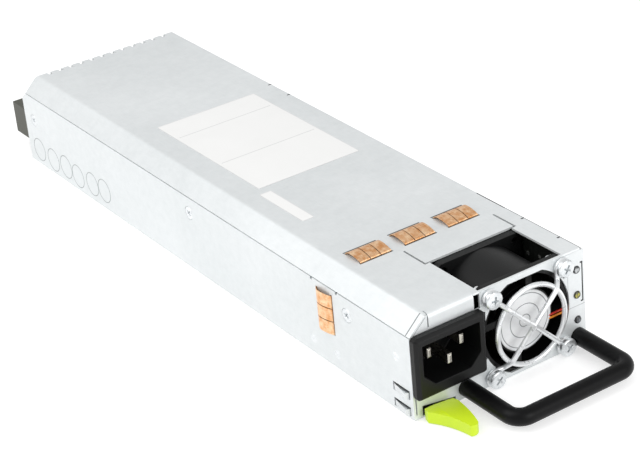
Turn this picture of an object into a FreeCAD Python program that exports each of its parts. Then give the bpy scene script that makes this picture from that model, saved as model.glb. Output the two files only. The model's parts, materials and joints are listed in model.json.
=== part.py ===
"""Hot swap server power supply, as an assembly of its separate pieces.

Millimetres, +Z up. The casing lies along Y with its face towards -Y. The origin is the centre of the
underside of the casing. Every piece is an object of one document and takes its sizes from one sheet.
"""
import FreeCAD, Part
import math
import os

import Sketcher

DOC = FreeCAD.newDocument("ServerPowerSupply")
SHEET = DOC.addObject("Spreadsheet::Sheet", "Sizes")
NODES = []

# ---------------------------------------------------------------------------------------------------
# Driving dimensions
# ---------------------------------------------------------------------------------------------------

DIMENSIONS = [
    # casing
    ("case_length", 282.5, "face to the rear flange of the cover"),
    ("case_height", 40.0, "underside to top"),
    ("sheet", 0.8, "thickness of the folded steel"),
    ("slip", 0.1, "gap between nested sheets"),
    ("bend", 1.4, "outer radius of the tray folds"),
    ("soft_bend", 2.2, "outer radius of the cover folds beside the bevel"),
    ("tight_bend", 0.7, "outer radius of the small cover folds"),
    ("front_bend", 2.0, "outer radius of the fold over the inlet"),
    ("bevel_across", 7.0, "bevel of the cover, along X"),
    ("bevel_down", 6.6, "bevel of the cover, along Z"),
    ("side_gap", 1.0, "rear wall of the tray to the side flange of the cover, along Z"),
    ("ear_drop", 5.0, "rear ear of that flange, further down"),
    ("ear_length", 9.0, "rear ear along Y"),
    ("right_drop", 14.0, "right side flange of the cover, from the top"),
    ("edge_step", 1.2, "right wall of the tray below the top"),
    ("wall_overrun", 3.5, "side walls and floor past the rear flange"),
    ("overrun_slope", 2.9, "drop of the wall end over the overrun"),
    ("rear_seam", 0.4, "output connector to the top of the rear wall"),
    ("seam_gap", 0.25, "gap of the long seam and of the rear seam"),
    # what stands side by side on the face
    ("inlet_edge", 0.1, "left wall to inlet flange"),
    ("inlet_width", 30.2, "flange of the mains inlet"),
    ("inlet_low", 9.4, "underside of the inlet flange above the base"),
    ("inlet_rise", 0.4, "inlet flange above the long seam"),
    ("fan_gap", 1.1, "inlet flange to fan"),
    ("fan_slack", 0.2, "fan to floor and to cover"),
    ("lamp_strip", 7.6, "fan to right wall, outside"),
    ("split_back", 2.4, "front flange of the cover short of the inlet flange"),
    # front flange and cuts of the cover
    ("flange_gap", 0.5, "front flange of the cover above the long seam"),
    ("relief_back", 2.6, "corner relief of the front fold, along Y"),
    ("relief_drop", 5.2, "corner relief of the front fold, along Z"),
    ("relief_width", 0.5, "corner relief of the front fold, along X"),
    ("relief_right", 1.6, "top edge of the bevel to that relief"),
    ("bevel_gap", 0.2, "front and rear flanges to the inside of the bevel"),
    ("cutout_left", 1.0, "fan cut-out past the left of the fan"),
    ("cutout_right", 2.0, "fan cut-out short of the right of the fan"),
    ("cutout_back", 28.5, "face to the back of the fan cut-out"),
    ("slit_width", 0.8, "relief slits"),
    ("slit_length", 12.1, "relief slits behind the cut-out"),
    ("slit_out", 1.3, "relief slits outside the cut-out"),
    ("edge_seam", 1.3, "right wall to the open seam beside it"),
    ("edge_seam_width", 0.35, "that seam along X"),
    ("edge_seam_front", 41.7, "face to the front end of that seam"),
    ("edge_seam_back", 58.0, "face to the rear end of that seam"),
    ("edge_tab", 2.8, "right wall to the inner end of the tab slits"),
    ("edge_tab_slit", 0.5, "tab slits along Y"),
    ("edge_tab_first", 10.8, "face to the first tab slit"),
    ("edge_tab_second", 30.8, "face to the second tab slit"),
    ("edge_tab_third", 184.0, "face to the third tab slit"),
    ("edge_tab_last", 198.5, "face to the last tab slit"),
    ("vent_width", 2.0, "vent slots over the rear fold"),
    ("vent_pitch", 5.28, "vent slots"),
    ("vent_start", 12.5, "left wall to the first vent slot"),
    ("vent_reach", 3.4, "vent slots on the top"),
    ("vent_drop", 13.0, "vent slots down the rear flange"),
    ("vent_count", 12, "vent slots"),
    # fasteners of the casing
    ("screw_shank", 1.5, "radius of the cover screws"),
    ("screw_head", 2.7, "head radius of the cover screws"),
    ("screw_sink", 0.45, "recess for the cover screws"),
    ("screw_length", 2.2, "cover screws under the head"),
    ("screw_first", 37.2, "face to the first cover screw"),
    ("screw_second", 144.2, "face to the second cover screw"),
    ("screw_last", 5.0, "last cover screw to the rear flange"),
    ("screw_up", 3.5, "first two cover screws above the edge of the side flange"),
    ("screw_last_down", 1.0, "last cover screw below that edge"),
    ("rivet_shank", 1.1, "rivet radius"),
    ("rivet_head", 1.8, "flush head radius"),
    ("rivet_sink", 0.4, "flush head depth"),
    ("rivet_tail", 2.0, "inner head radius"),
    ("tail_height", 0.4, "inner head height"),
    ("lap_length", 13.0, "flange of the face along the left wall"),
    ("lap_low", 1.4, "that flange above the latch zone"),
    ("lap_high", 2.4, "that flange below the long seam"),
    ("lap_rivet_back", 8.4, "face to the face rivet"),
    ("lap_rivet_down", 10.5, "face rivet below the bevel"),
    # spring clips
    ("clip_width", 13.5, "spring clip across its fingers"),
    ("clip_length", 9.5, "spring clip along Y"),
    ("clip_strip", 0.3, "thickness of the copper strip"),
    ("clip_rise", 1.5, "arch of the fingers"),
    ("clip_front", 44.0, "face to the clips on the top"),
    ("clip_first", 19.0, "left wall to the first clip centre"),
    ("clip_pitch", 19.6, "clips on the top"),
    ("clip_gap", 0.35, "gap between fingers"),
    ("clip_slot", 0.9, "slots that the clip hooks through"),
    ("side_clip_front", 45.9, "face to the clip on the left wall"),
    ("side_clip_rise", 0.45, "clip on the left wall above the middle between latch and bevel"),
    ("side_clip_width", 16.0, "clip on the left wall across its fingers"),
    ("clip_crest", 6.2, "front slot to the crest of the fingers"),
    ("clip_lip", 0.25, "foot of the fingers above the sheet"),
    ("slot_room", 0.3, "strip to the sides of its slots"),
    ("notch_length", 1.2, "notches in the long seam"),
    ("notch_depth", 0.9, "notches in the long seam"),
    ("notch_clear", 3.0, "notches before and behind the side clip"),
    # mains inlet
    ("flange_proud", 3.4, "inlet flange in front of the face"),
    ("flange_corner", 1.5, "corner radius of the inlet flange"),
    ("flange_bevel", 1.1, "front edge of the inlet flange"),
    ("inlet_body_width", 26.0, "inlet body behind the face"),
    ("inlet_rim", 2.7, "inlet flange past the body, above and below"),
    ("inlet_body_depth", 20.0, "inlet body behind the face"),
    ("cavity_width", 24.4, "socket of the inlet"),
    ("cavity_rim", 1.3, "socket inside the height of the body, above and below"),
    ("cavity_depth", 15.8, "socket of the inlet"),
    ("cavity_rise", 0.9, "socket above the middle of the flange"),
    ("cavity_corner", 4.6, "bevelled lower corners of the socket"),
    ("pin_wide", 2.0, "inlet pins along X"),
    ("pin_tall", 4.0, "inlet pins along Z"),
    ("pin_pitch", 14.0, "line pin to neutral pin"),
    ("pin_offset", 2.0, "pins above and below the middle of the socket"),
    ("pin_set_back", 3.4, "tip of the line pin behind the flange front"),
    ("earth_lead", 2.2, "earth pin longer by"),
    ("pin_tip", 0.6, "chamfer of the pin tips"),
    ("tab_thick", 0.8, "solder tabs behind the inlet"),
    ("tab_length", 7.0, "solder tabs behind the inlet"),
    # fan
    ("fan_depth", 28.0, "fan frame along Y"),
    ("fan_inset", 3.0, "screw centres from the sides of the frame"),
    ("fan_corner", 2.6, "corner radius of the frame"),
    ("fan_flange", 3.6, "end flanges of the frame"),
    ("barrel_inset", 0.2, "barrel inside the frame's outline"),
    ("barrel_wall", 0.9, "wall of the barrel"),
    ("tip_gap", 0.6, "blade tips to the barrel"),
    ("motor_radius", 12.2, "motor plate and hub"),
    ("motor_set_back", 0.4, "motor plate behind the front of the frame"),
    ("motor_plate", 1.6, "thickness of the motor plate"),
    ("strut_width", 2.6, "struts of the motor plate"),
    ("strut_set_back", 1.0, "struts behind the front of the frame"),
    ("strut_depth", 3.9, "struts along Y"),
    ("strut_drop", 3.0, "struts beside the centre"),
    ("strut_count", 4, "struts"),
    ("post_radius", 4.0, "bearing tube of the frame"),
    ("post_length", 13.4, "bearing tube of the frame"),
    ("bearing_radius", 3.0, "bearings, outside"),
    ("bearing_width", 2.5, "bearings"),
    ("shaft_radius", 1.0, "fan shaft"),
    ("run_gap", 0.03, "running clearance of the shaft"),
    ("board_radius", 10.6, "fan circuit board"),
    ("board_thick", 0.8, "fan circuit board"),
    ("hub_gap", 0.6, "fan circuit board to hub"),
    ("hub_depth", 16.0, "hub along Y"),
    ("hub_wall", 1.0, "hub wall"),
    ("hub_round", 1.5, "rear edge of the hub"),
    ("magnet_wall", 1.0, "magnet ring"),
    ("magnet_depth", 10.0, "magnet ring along Y"),
    ("air_gap", 0.4, "magnet to stator"),
    ("stator_depth", 8.0, "stator along Y"),
    ("stator_slot", 3.0, "winding slots of the stator"),
    ("blade_count", 7, "blades"),
    ("blade_chord", 12.5, "blade along Y"),
    ("root_sweep", 6.6, "blade root across"),
    ("tip_sweep", 8.6, "blade tip across"),
    ("blade_front", 2.0, "hub front to blade front"),
    ("blade_crown", 15.0, "pressure side radius"),
    ("blade_thin", 11.5, "suction side radius"),
    ("opening_radius", 19.4, "air opening in the face"),
    ("opening_flat", 17.8, "flat top and bottom of the air opening"),
    ("fan_screw", 1.5, "fan screw radius"),
    ("fan_screw_head", 3.5, "fan screw head radius"),
    ("fan_screw_rise", 1.9, "fan screw head height"),
    ("fan_screw_round", 0.9, "edge of the fan screw head"),
    ("fan_screw_length", 7.0, "fan screw under the face"),
    # finger guard
    ("wire", 0.95, "radius of the guard wire"),
    ("guard_ring", 15.05, "radius of the guard ring"),
    ("ring_out", 2.6, "guard ring in front of the face"),
    ("cross_out", 4.1, "crossing wires in front of the face"),
    ("eye_radius", 2.55, "eyes round the screws"),
    ("cross_reach", 10.6, "crossing wires before they drop"),
    ("eye_exit", 5.0, "wires flat round the screws"),
    ("leg_drop", 3.9, "bent legs flat beside the screws"),
    ("wire_bend", 1.6, "bends of the guard wire"),
    # handle
    ("handle_radius", 3.2, "handle bar"),
    ("handle_reach", 28.15, "face to the middle of the front bar"),
    ("handle_bend", 5.2, "handle corners, at the middle of the bar"),
    ("handle_down", 4.4, "handle below the underside of the inlet flange"),
    ("neck_radius", 2.2, "necks through the face"),
    ("upset_radius", 2.7, "upset ends behind the face"),
    ("upset_height", 0.8, "upset ends behind the face"),
    ("handle_gap", 0.1, "handle to the fan screw beside it"),
    # release latch
    ("latch_lift", 0.8, "latch plate above the floor"),
    ("latch_gap", 0.8, "latch plate below the inlet body"),
    ("leaf", 0.4, "thickness of the leaf spring"),
    ("leaf_short", 0.65, "leaf spring lower than the latch plate, above and below"),
    ("leaf_offset", 0.5, "leaf spring above the middle of the latch plate"),
    ("leaf_lap", 4.0, "leaf spring ahead of the hinge line"),
    ("leaf_end", 65.0, "face to the rear end of the leaf spring"),
    ("leaf_round", 2.0, "corners of the leaf spring"),
    ("hinge_back", 38.0, "face to the hinge line"),
    ("latch_rivet_near", 45.3, "face to the front latch rivet"),
    ("latch_rivet_far", 60.5, "face to the rear latch rivet"),
    ("plate", 1.0, "thickness of the latch plate"),
    ("plate_front", 1.4, "latch plate behind the outside of the face"),
    ("tooth_height", 2.5, "teeth along Z"),
    ("tooth_length", 8.4, "teeth along Y"),
    ("tooth_front", 2.4, "face to the locking side of the teeth"),
    ("tooth_out", 1.3, "teeth outside the wall"),
    ("tooth_slack", 0.3, "teeth above the lower edges of their slots"),
    ("tooth_over", 0.7, "teeth below the upper edges of their slots"),
    ("tooth_low", 0.5, "lower tooth above the plate's lower edge"),
    ("tooth_high", 0.1, "upper tooth below the plate's upper edge"),
    ("slot_slack", 0.6, "teeth to the ends of their slots, along Y"),
    ("tooth_lead", 0.6, "locking side to the crest of the teeth"),
    ("foot_up", 0.6, "foot above the plate's lower edge"),
    ("foot_left", 4.4, "left wall to the foot outside the face"),
    ("foot_right", 13.6, "left wall to the right of the foot"),
    ("foot_back", 14.0, "face to the rear of the foot"),
    ("foot_out", 14.0, "foot in front of the face"),
    ("foot_narrow", 3.2, "foot at its front end"),
    ("mouth_left", 3.6, "left wall to the mouth in the face"),
    ("mouth_right", 4.2, "foot to the right end of the mouth"),
    ("mouth_low", 0.7, "foot to the bottom of the mouth"),
    ("mouth_high", 2.2, "foot to the top of the mouth, left"),
    ("mouth_slope", 2.2, "fall of the top of the mouth"),
    ("tab_gap", 1.3, "face to the thumb tab"),
    ("tab_left", 2.9, "left wall to the tab's left side"),
    ("tab_right", 16.2, "left wall to the tab's right side"),
    ("tab_tip_left", 8.7, "left wall to the tip, left"),
    ("tab_tip_right", 12.9, "left wall to the tip, right"),
    ("tab_reach", 21.0, "face to the tip of the tab"),
    ("tab_top", 5.0, "height of the tab's crest"),
    ("tab_base", 0.15, "height of the tab's underside"),
    ("tab_back_top", 2.8, "height of the tab's low edge above the foot's underside"),
    ("tab_under", 0.8, "lower edges of the tab"),
    ("tab_scoop", 32.0, "hollow left side of the tab"),
    ("tab_swell", 60.0, "full right side of the tab"),
    ("tab_tip", 2.6, "tip of the tab"),
    ("tab_shoulder", 2.4, "rear corners of the tab"),
    ("tab_round", 1.2, "edges of the tab"),
    ("thumb_gap", 3.0, "tab to handle leg"),
    # lamps
    ("lamp_radius", 1.5, "lamps"),
    ("lamp_proud", 0.6, "lamps in front of the face"),
    ("lamp_round", 0.54, "front edge of the lamps"),
    ("lamp_low", 11.5, "height of the lowest lamp"),
    ("lamp_high", 8.2, "highest lamp below the top"),
    ("lamp_depth", 5.0, "lamps behind the face"),
    ("lamp_base", 1.7, "half of the lamp's holder"),
    ("lamp_reach", 2.0, "lamp board to the middle of the lamps"),
    ("lamp_slack", 0.05, "lamps in their holes"),
    ("lamp_board_gap", 1.0, "fan to lamp board"),
    ("lamp_board", 1.0, "thickness of the lamp board"),
    ("lamp_board_front", 3.0, "face to the lamp board"),
    ("lamp_board_down", 4.0, "lamp board below the top"),
    ("lamp_board_under", 2.2, "lowest lamp to the underside of the lamp board's front arm"),
    ("lamp_board_foot", 13.0, "foot of the lamp board along Y"),
    # corner slits of the face
    ("seam_slit", 0.5, "open seam at the left corner"),
    ("seam_low", 2.6, "lower end of that seam"),
    ("edge_slit", 0.35, "slit at the right corner"),
    ("edge_slit_low", 18.4, "lower end of that slit"),
    ("edge_slit_high", 5.7, "upper end of that slit below the top"),
    ("edge_tick", 1.0, "ends of that slit"),
    # main board
    ("main_board", 1.6, "thickness of the main board"),
    ("stand_height", 4.6, "stand-offs"),
    ("stand_radius", 2.9, "stand-offs, across corners"),
    ("stand_hole", 1.5, "board screws, radius"),
    ("stand_inset", 7.0, "stand-offs from the sides of the board"),
    ("stand_aside", 1.0, "boost choke to the stand-off beside it, along X"),
    ("stand_past", 8.25, "middle of the boost choke to the middle row of stand-offs, along Y"),
    ("stand_back", 14.0, "board edge to the front stand-offs"),
    ("stand_ahead", 6.0, "output connector to the rear stand-offs"),
    ("board_screw_head", 2.7, "head radius of the board screws"),
    ("board_screw_rise", 1.6, "head height of the board screws"),
    ("board_screw_length", 5.2, "board screws under the head"),
    ("fan_room", 17.2, "fan to the main board"),
    ("board_left", 3.4, "left wall to the main board"),
    ("board_right", 3.0, "main board to the right wall"),
    ("board_back", 2.6, "main board to the rear flange"),
    ("film", 0.4, "insulating sheet"),
    ("film_edge", 1.5, "insulating sheet to the walls"),
    ("film_hole", 3.4, "holes for the stand-offs"),
    # output connector
    ("plug_left", 3.0, "left wall to the output connector"),
    ("plug_width", 56.0, "output connector"),
    ("plug_height", 14.6, "output connector"),
    ("plug_proud", 23.0, "output connector past the rear flange"),
    ("plug_inside", 12.0, "output connector ahead of the rear flange"),
    ("plug_edge", 1.0, "chamfer of the connector's rear edges"),
    ("plug_slack", 0.2, "connector in its window"),
    ("bay_count", 6, "power bays"),
    ("bay_pitch", 5.6, "power bays"),
    ("bay_width", 4.2, "power bays"),
    ("bay_height", 9.8, "power bays"),
    ("bay_depth", 17.0, "power bays"),
    ("bay_first", 4.4, "side of the connector to the first bay centre"),
    ("blade_thick", 1.2, "power contacts"),
    ("blade_back", 2.0, "power contacts short of the rear edge"),
    ("signal_width", 12.4, "signal bay"),
    ("signal_height", 9.8, "signal bay"),
    ("signal_edge", 1.8, "signal bay to the side of the connector"),
    ("signal_columns", 4, "signal pins along X"),
    ("signal_rows", 3, "signal pins along Z"),
    ("signal_pitch", 2.54, "signal pins"),
    ("signal_pin", 0.6, "signal pins"),
    ("rear_vent_height", 11.0, "vent slots of the rear wall"),
    ("rear_vent_up", 5.0, "height of those slots"),
    ("rear_vent_count", 3, "vent slots of the rear wall"),
    ("rear_vent_gap", 4.0, "output connector to those slots"),
    # parts on the main board; the front group is placed from its front edge, the rear group from the rear
    ("part_gap", 4.0, "between parts along Y"),
    ("left_column", 27.0, "left wall to the left column"),
    ("primary_edge", 13.0, "right wall to the back of the primary heat sink"),
    ("rear_left", 31.0, "left wall to the transformer"),
    ("secondary_edge", 8.0, "right wall to the back of the secondary heat sink"),
    ("fuse_back", 13.0, "board edge to the fuse"),
    ("fuse_radius", 3.0, "fuse"),
    ("fuse_length", 20.0, "fuse"),
    ("fuse_cap", 5.0, "fuse caps"),
    ("fuse_body", 2.7, "glass of the fuse"),
    ("xcap_width", 26.0, "noise capacitor along X"),
    ("xcap_length", 11.0, "noise capacitor along Y"),
    ("xcap_height", 20.0, "noise capacitor"),
    ("xcap_round", 1.0, "noise capacitor edges"),
    ("choke_radius", 13.0, "noise choke"),
    ("choke_bore", 5.5, "noise choke bore"),
    ("choke_height", 14.0, "noise choke"),
    ("coil_round", 3.0, "edges of the chokes"),
    ("boost_radius", 12.0, "boost choke"),
    ("boost_bore", 5.0, "boost choke bore"),
    ("boost_height", 17.0, "boost choke"),
    ("can_room", 4.0, "bulk capacitor to the cover"),
    ("can_length", 48.0, "bulk capacitor"),
    ("can_groove", 0.8, "crimp groove"),
    ("can_crimp", 4.0, "end to crimp groove"),
    ("can_round", 1.5, "edges of the bulk capacitor"),
    ("sink_back", 20.0, "board edge to the primary heat sink"),
    ("can_gap", 2.9, "bulk capacitor to the primary heat sink"),
    ("core_gap", 2.0, "transformer to the secondary heat sink"),
    ("boost_gap", 0.9, "bulk capacitor to the boost choke"),
    ("sink_room", 3.2, "heat sinks to the cover"),
    ("sink_plate", 3.0, "back of the heat sinks"),
    ("sink_fin", 1.2, "fins"),
    ("sink_fins", 7, "fins"),
    ("primary_length", 72.0, "primary heat sink"),
    ("secondary_length", 56.0, "secondary heat sink"),
    ("chip_width", 15.0, "power packages along Y"),
    ("chip_thick", 4.4, "power packages"),
    ("chip_height", 19.0, "power packages"),
    ("chip_leg", 3.0, "legs of the power packages"),
    ("chip_pitch", 17.0, "power packages"),
    ("bridge_width", 20.0, "bridge rectifier along Y"),
    ("bridge_thick", 4.0, "bridge rectifier"),
    ("core_width", 32.0, "transformer along X"),
    ("core_length", 34.0, "transformer along Y"),
    ("core_room", 4.2, "transformer to the cover"),
    ("core_leg", 7.0, "outer legs of the core"),
    ("core_yoke", 6.0, "yokes of the core"),
    ("winding_out", 3.0, "winding past the core along Y"),
    ("tube_radius", 5.0, "output capacitors"),
    ("tube_height", 21.0, "output capacitors"),
    ("tube_count", 4, "output capacitors"),
    ("tube_pitch", 11.5, "output capacitors"),
    ("tube_round", 0.8, "edges of the output capacitors"),
    # leads
    ("lead_radius", 0.4, "fan wires"),
    ("lead_pitch", 1.3, "fan wires"),
    ("lead_start", 10.6, "shaft to the start of the fan wires"),
    ("lead_front", 0.5, "front of the frame to the fan wires"),
    ("lead_aside", 0.5, "fan wires beside the frame"),
    ("lead_behind", 6.0, "fan wires behind the frame"),
    ("lead_bend", 2.4, "bends of the fan wires"),
    ("lead_notch", 3.4, "notch for the fan wires, along Y"),
    ("lead_window", 2.4, "notch for the fan wires, along Z"),
    ("lead_over", 4.0, "fan wires above their plug"),
    ("socket_width", 6.0, "fan plug along X"),
    ("socket_length", 5.0, "fan plug along Y"),
    ("socket_height", 7.0, "fan plug"),
    ("socket_back", 6.0, "board edge to fan plug"),
    ("socket_left", 62.4, "left wall to fan plug"),
    ("mains_radius", 1.1, "mains wires"),
    ("mains_bend", 3.6, "bends of the mains wires"),
    ("mains_back", 4.0, "board edge to where the mains wires end"),
    ("mains_pitch", 6.0, "mains wires on the board"),
    ("mains_left", 10.0, "left wall to the line wire on the board"),
    ("mains_rise", 9.0, "mains wires above the board before they drop"),
]


class Size:
    """A length kept both as a number and as the sheet expression that gives it."""

    def __init__(self, value, text):
        self.value = float(value)
        self.text = text

    def __add__(self, other):
        other = as_size(other)
        return Size(self.value + other.value, "(%s + %s)" % (self.text, other.text))

    def __sub__(self, other):
        other = as_size(other)
        return Size(self.value - other.value, "(%s - %s)" % (self.text, other.text))

    def __mul__(self, other):
        other = as_size(other)
        return Size(self.value * other.value, "(%s * %s)" % (self.text, other.text))

    def __truediv__(self, other):
        other = as_size(other)
        return Size(self.value / other.value, "(%s / %s)" % (self.text, other.text))

    def __neg__(self):
        return self * -1

    def __radd__(self, other):
        return as_size(other) + self

    def __rsub__(self, other):
        return as_size(other) - self

    def __rmul__(self, other):
        return as_size(other) * self


def as_size(number):
    if isinstance(number, Size):
        return number
    return Size(number, "(%.9g)" % number)


def root(size):
    return Size(math.sqrt(size.value), "sqrt(%s)" % size.text)


def hypotenuse(first, second):
    return root(first * first + second * second)


class Dimensions:
    """The driving dimensions by name, each tied to its cell."""

    def __init__(self, rows):
        for number, (name, value, meaning) in enumerate(rows, 1):
            SHEET.set("A%d" % number, name)
            SHEET.set("B%d" % number, str(value))
            SHEET.set("C%d" % number, meaning)
            SHEET.setAlias("B%d" % number, name)
            setattr(self, name, Size(value, "Sizes." + name))


D = Dimensions(DIMENSIONS)
DOC.recompute()


# ---------------------------------------------------------------------------------------------------
# Places that several pieces share, all worked out from the driving dimensions
# ---------------------------------------------------------------------------------------------------

FAN_SIZE = D.case_height - 2 * D.sheet - 2 * D.fan_slack
CASE_WIDTH = D.inlet_edge + D.inlet_width + D.fan_gap + FAN_SIZE + D.lamp_strip
LEFT = -CASE_WIDTH / 2
RIGHT = CASE_WIDTH / 2
FRONT = -D.case_length / 2
BACK = D.case_length / 2
SEAM = D.case_height - D.bevel_down
UNDER_TOP = D.case_height - D.sheet
RIGHT_TOP = D.case_height - D.edge_step
LEFT_INSIDE = LEFT + D.sheet
RIGHT_INSIDE = RIGHT - D.sheet
LEFT_FLANGE = LEFT_INSIDE + D.slip
RIGHT_FLANGE = RIGHT_INSIDE - D.slip

INLET_X = LEFT + D.inlet_edge + D.inlet_width / 2
INLET_HEIGHT = SEAM + D.inlet_rise - D.inlet_low
INLET_Z = D.inlet_low + INLET_HEIGHT / 2
INLET_FLOOR = D.inlet_low + D.inlet_rim
INLET_ROOF = SEAM + D.inlet_rise - D.inlet_rim

FAN_LEFT = LEFT + D.inlet_edge + D.inlet_width + D.fan_gap
FAN_RIGHT = FAN_LEFT + FAN_SIZE
FAN_X = FAN_LEFT + FAN_SIZE / 2
FAN_Z = D.case_height / 2
FAN_FRONT = FRONT + D.sheet
FAN_BACK = FAN_FRONT + D.fan_depth
SCREW_OFFSET = FAN_SIZE / 2 - D.fan_inset
BARREL = FAN_SIZE / 2 - D.barrel_inset
BORE = BARREL - D.barrel_wall

CUT_LEFT = FAN_LEFT - D.cutout_left
CUT_RIGHT = FAN_RIGHT - D.cutout_right
SPLIT = LEFT + D.inlet_edge + D.inlet_width - D.split_back

LATCH_LOW = D.sheet + D.latch_lift
LATCH_HIGH = INLET_FLOOR - D.latch_gap
LEAF_Z = (LATCH_LOW + LATCH_HIGH) / 2 + D.leaf_offset
PLATE_X = LEFT_INSIDE + D.leaf
HINGE_X = PLATE_X
HINGE_Y = FRONT + D.hinge_back
FOOT_Z = LATCH_LOW + D.foot_up
UPPER_TOOTH = LATCH_HIGH - D.tooth_high - D.tooth_height
LOWER_TOOTH = LATCH_LOW + D.tooth_low

HANDLE_Z = D.inlet_low - D.handle_down
HANDLE_LEFT = LEFT + D.tab_right + D.thumb_gap + D.handle_radius
HANDLE_RIGHT = FAN_X + SCREW_OFFSET + D.fan_screw_head + D.handle_gap + D.handle_radius

LAMP_BOARD_X = FAN_RIGHT + D.lamp_board_gap
LAMP_X = LAMP_BOARD_X + D.lamp_board + D.lamp_reach

BOARD_UNDER = D.sheet + D.stand_height
BOARD_TOP = BOARD_UNDER + D.main_board
REAR_SEAM = BOARD_TOP + D.plug_height + D.rear_seam
SIDE_LOW = REAR_SEAM + D.side_gap
BOARD_LEFT = LEFT + D.board_left
BOARD_RIGHT = RIGHT - D.board_right
BOARD_FRONT = FAN_BACK + D.fan_room
BOARD_BACK = BACK - D.board_back

PLUG_X = LEFT + D.plug_left + D.plug_width / 2
PLUG_Z = BOARD_TOP + D.plug_height / 2

MARGIN = 1.0


# ---------------------------------------------------------------------------------------------------
# Sketches and features
# ---------------------------------------------------------------------------------------------------

PLANES = {"XY": ("XY_Plane", 1), "XZ": ("XZ_Plane", -1), "YZ": ("YZ_Plane", 1)}
AXES = {"X": "X_Axis", "Y": "Y_Axis", "Z": "Z_Axis"}


def bind(thing, name, size):
    thing.setExpression(name, as_size(size).text)


def put(thing, place):
    for axis, distance in zip("xyz", place):
        bind(thing, "Placement.Base." + axis, distance)


def new_body(label, place=(0, 0, 0), turn=None):
    body = DOC.addObject("PartDesign::Body", label)
    body.Label = label
    body.AllowCompound = True
    if turn is not None:
        body.Placement = FreeCAD.Placement(FreeCAD.Vector(), turn)
    put(body, place)
    return body


def origin_part(body, role):
    return [piece for piece in body.Origin.OriginFeatures if piece.Role == role][0]


class Profile:
    """A sketch on one of its body's own planes, level being its place along that plane's axis."""

    def __init__(self, body, plane, level=0):
        role, self.way = PLANES[plane]
        self.body = body
        self.sketch = body.newObject("Sketcher::SketchObject", body.Name + "_sketch")
        self.sketch.AttachmentSupport = [(origin_part(body, role), "")]
        self.sketch.MapMode = "FlatFace"
        bind(self.sketch, "AttachmentOffset.Base.z", as_size(level) * self.way)

    def tie(self, kind, *reference, size):
        index = self.sketch.addConstraint(Sketcher.Constraint(kind, *reference, as_size(size).value))
        bind(self.sketch, "Constraints[%d]" % index, size)

    def pin(self, geometry, point, x, y):
        self.tie("DistanceX", -1, 1, geometry, point, size=x)
        self.tie("DistanceY", -1, 1, geometry, point, size=y)

    def outline(self, *corners, closed=True):
        """Corners are (x, y); a third entry makes the edge that leaves the corner an arc of that
        radius, turning left, or right if a fourth entry is -1."""
        first = self.sketch.GeometryCount
        count = len(corners) if closed else len(corners) - 1
        ends = []
        for number in range(count):
            start = corners[number]
            finish = corners[(number + 1) % len(corners)]
            here = FreeCAD.Vector(as_size(start[0]).value, as_size(start[1]).value, 0)
            there = FreeCAD.Vector(as_size(finish[0]).value, as_size(finish[1]).value, 0)
            if len(start) == 2:
                self.sketch.addGeometry(Part.LineSegment(here, there), False)
                ends.append((1, 2))
                continue
            turn = start[3] if len(start) == 4 else 1
            self.sketch.addGeometry(arc_between(here, there, as_size(start[2]).value, turn), False)
            ends.append((1, 2) if turn > 0 else (2, 1))
        for number in range(count):
            geometry = first + number
            self.pin(geometry, ends[number][0], corners[number][0], corners[number][1])
            if number + 1 < count:
                self.join(geometry, ends[number][1], geometry + 1, ends[number + 1][0])
            elif closed:
                self.join(geometry, ends[number][1], first, ends[0][0])
            else:
                self.pin(geometry, ends[number][1], corners[-1][0], corners[-1][1])
            if len(corners[number]) > 2:
                self.tie("Radius", geometry, size=corners[number][2])
        return self

    def join(self, first, first_end, second, second_end):
        self.sketch.addConstraint(Sketcher.Constraint("Coincident", first, first_end, second, second_end))

    def rectangle(self, x0, y0, x1, y1):
        return self.outline((x0, y0), (x1, y0), (x1, y1), (x0, y1))

    def rounded(self, x0, y0, x1, y1, radius):
        x0, y0, x1, y1 = [as_size(value) for value in (x0, y0, x1, y1)]
        return self.outline(
            (x0 + radius, y0), (x1 - radius, y0, radius),
            (x1, y0 + radius), (x1, y1 - radius, radius),
            (x1 - radius, y1), (x0 + radius, y1, radius),
            (x0, y1 - radius), (x0, y0 + radius, radius))

    def circle(self, x, y, radius):
        centre = FreeCAD.Vector(as_size(x).value, as_size(y).value, 0)
        geometry = self.sketch.addGeometry(
            Part.Circle(centre, FreeCAD.Vector(0, 0, 1), as_size(radius).value), False)
        self.pin(geometry, 3, x, y)
        self.tie("Radius", geometry, size=radius)
        return self

    def feature(self, kind):
        made = self.body.newObject("PartDesign::" + kind, "%s_%s" % (self.body.Name, kind.lower()))
        made.Profile = self.sketch
        return made

    def pad(self, length, way=1, both=False):
        made = self.feature("Pad")
        bind(made, "Length", length)
        made.Reversed = way * self.way < 0
        if both:
            made.SideType = "Symmetric"
        return made

    def pocket(self, length, way=1, both=False):
        made = self.feature("Pocket")
        bind(made, "Length", length)
        made.Reversed = way * self.way > 0
        if both:
            made.SideType = "Symmetric"
        return made

    def revolve(self, axis, kind="Revolution"):
        made = self.feature(kind)
        made.ReferenceAxis = (origin_part(self.body, AXES[axis]), [""])
        made.Angle = 360
        return made


def arc_between(here, there, radius, turn):
    """The shorter arc of that radius from here to there, turning left for turn 1."""
    chord = there - here
    half = chord.Length / 2
    aside = FreeCAD.Vector(-chord.y, chord.x, 0).normalize() * math.sqrt(max(radius ** 2 - half ** 2, 0))
    centre = (here + there) / 2 + aside * turn
    start, finish = (here, there) if turn > 0 else (there, here)
    angles = [math.atan2(point.y - centre.y, point.x - centre.x) for point in (start, finish)]
    circle = Part.Circle(centre, FreeCAD.Vector(0, 0, 1), radius)
    return Part.ArcOfCircle(circle, angles[0], angles[1])


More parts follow.
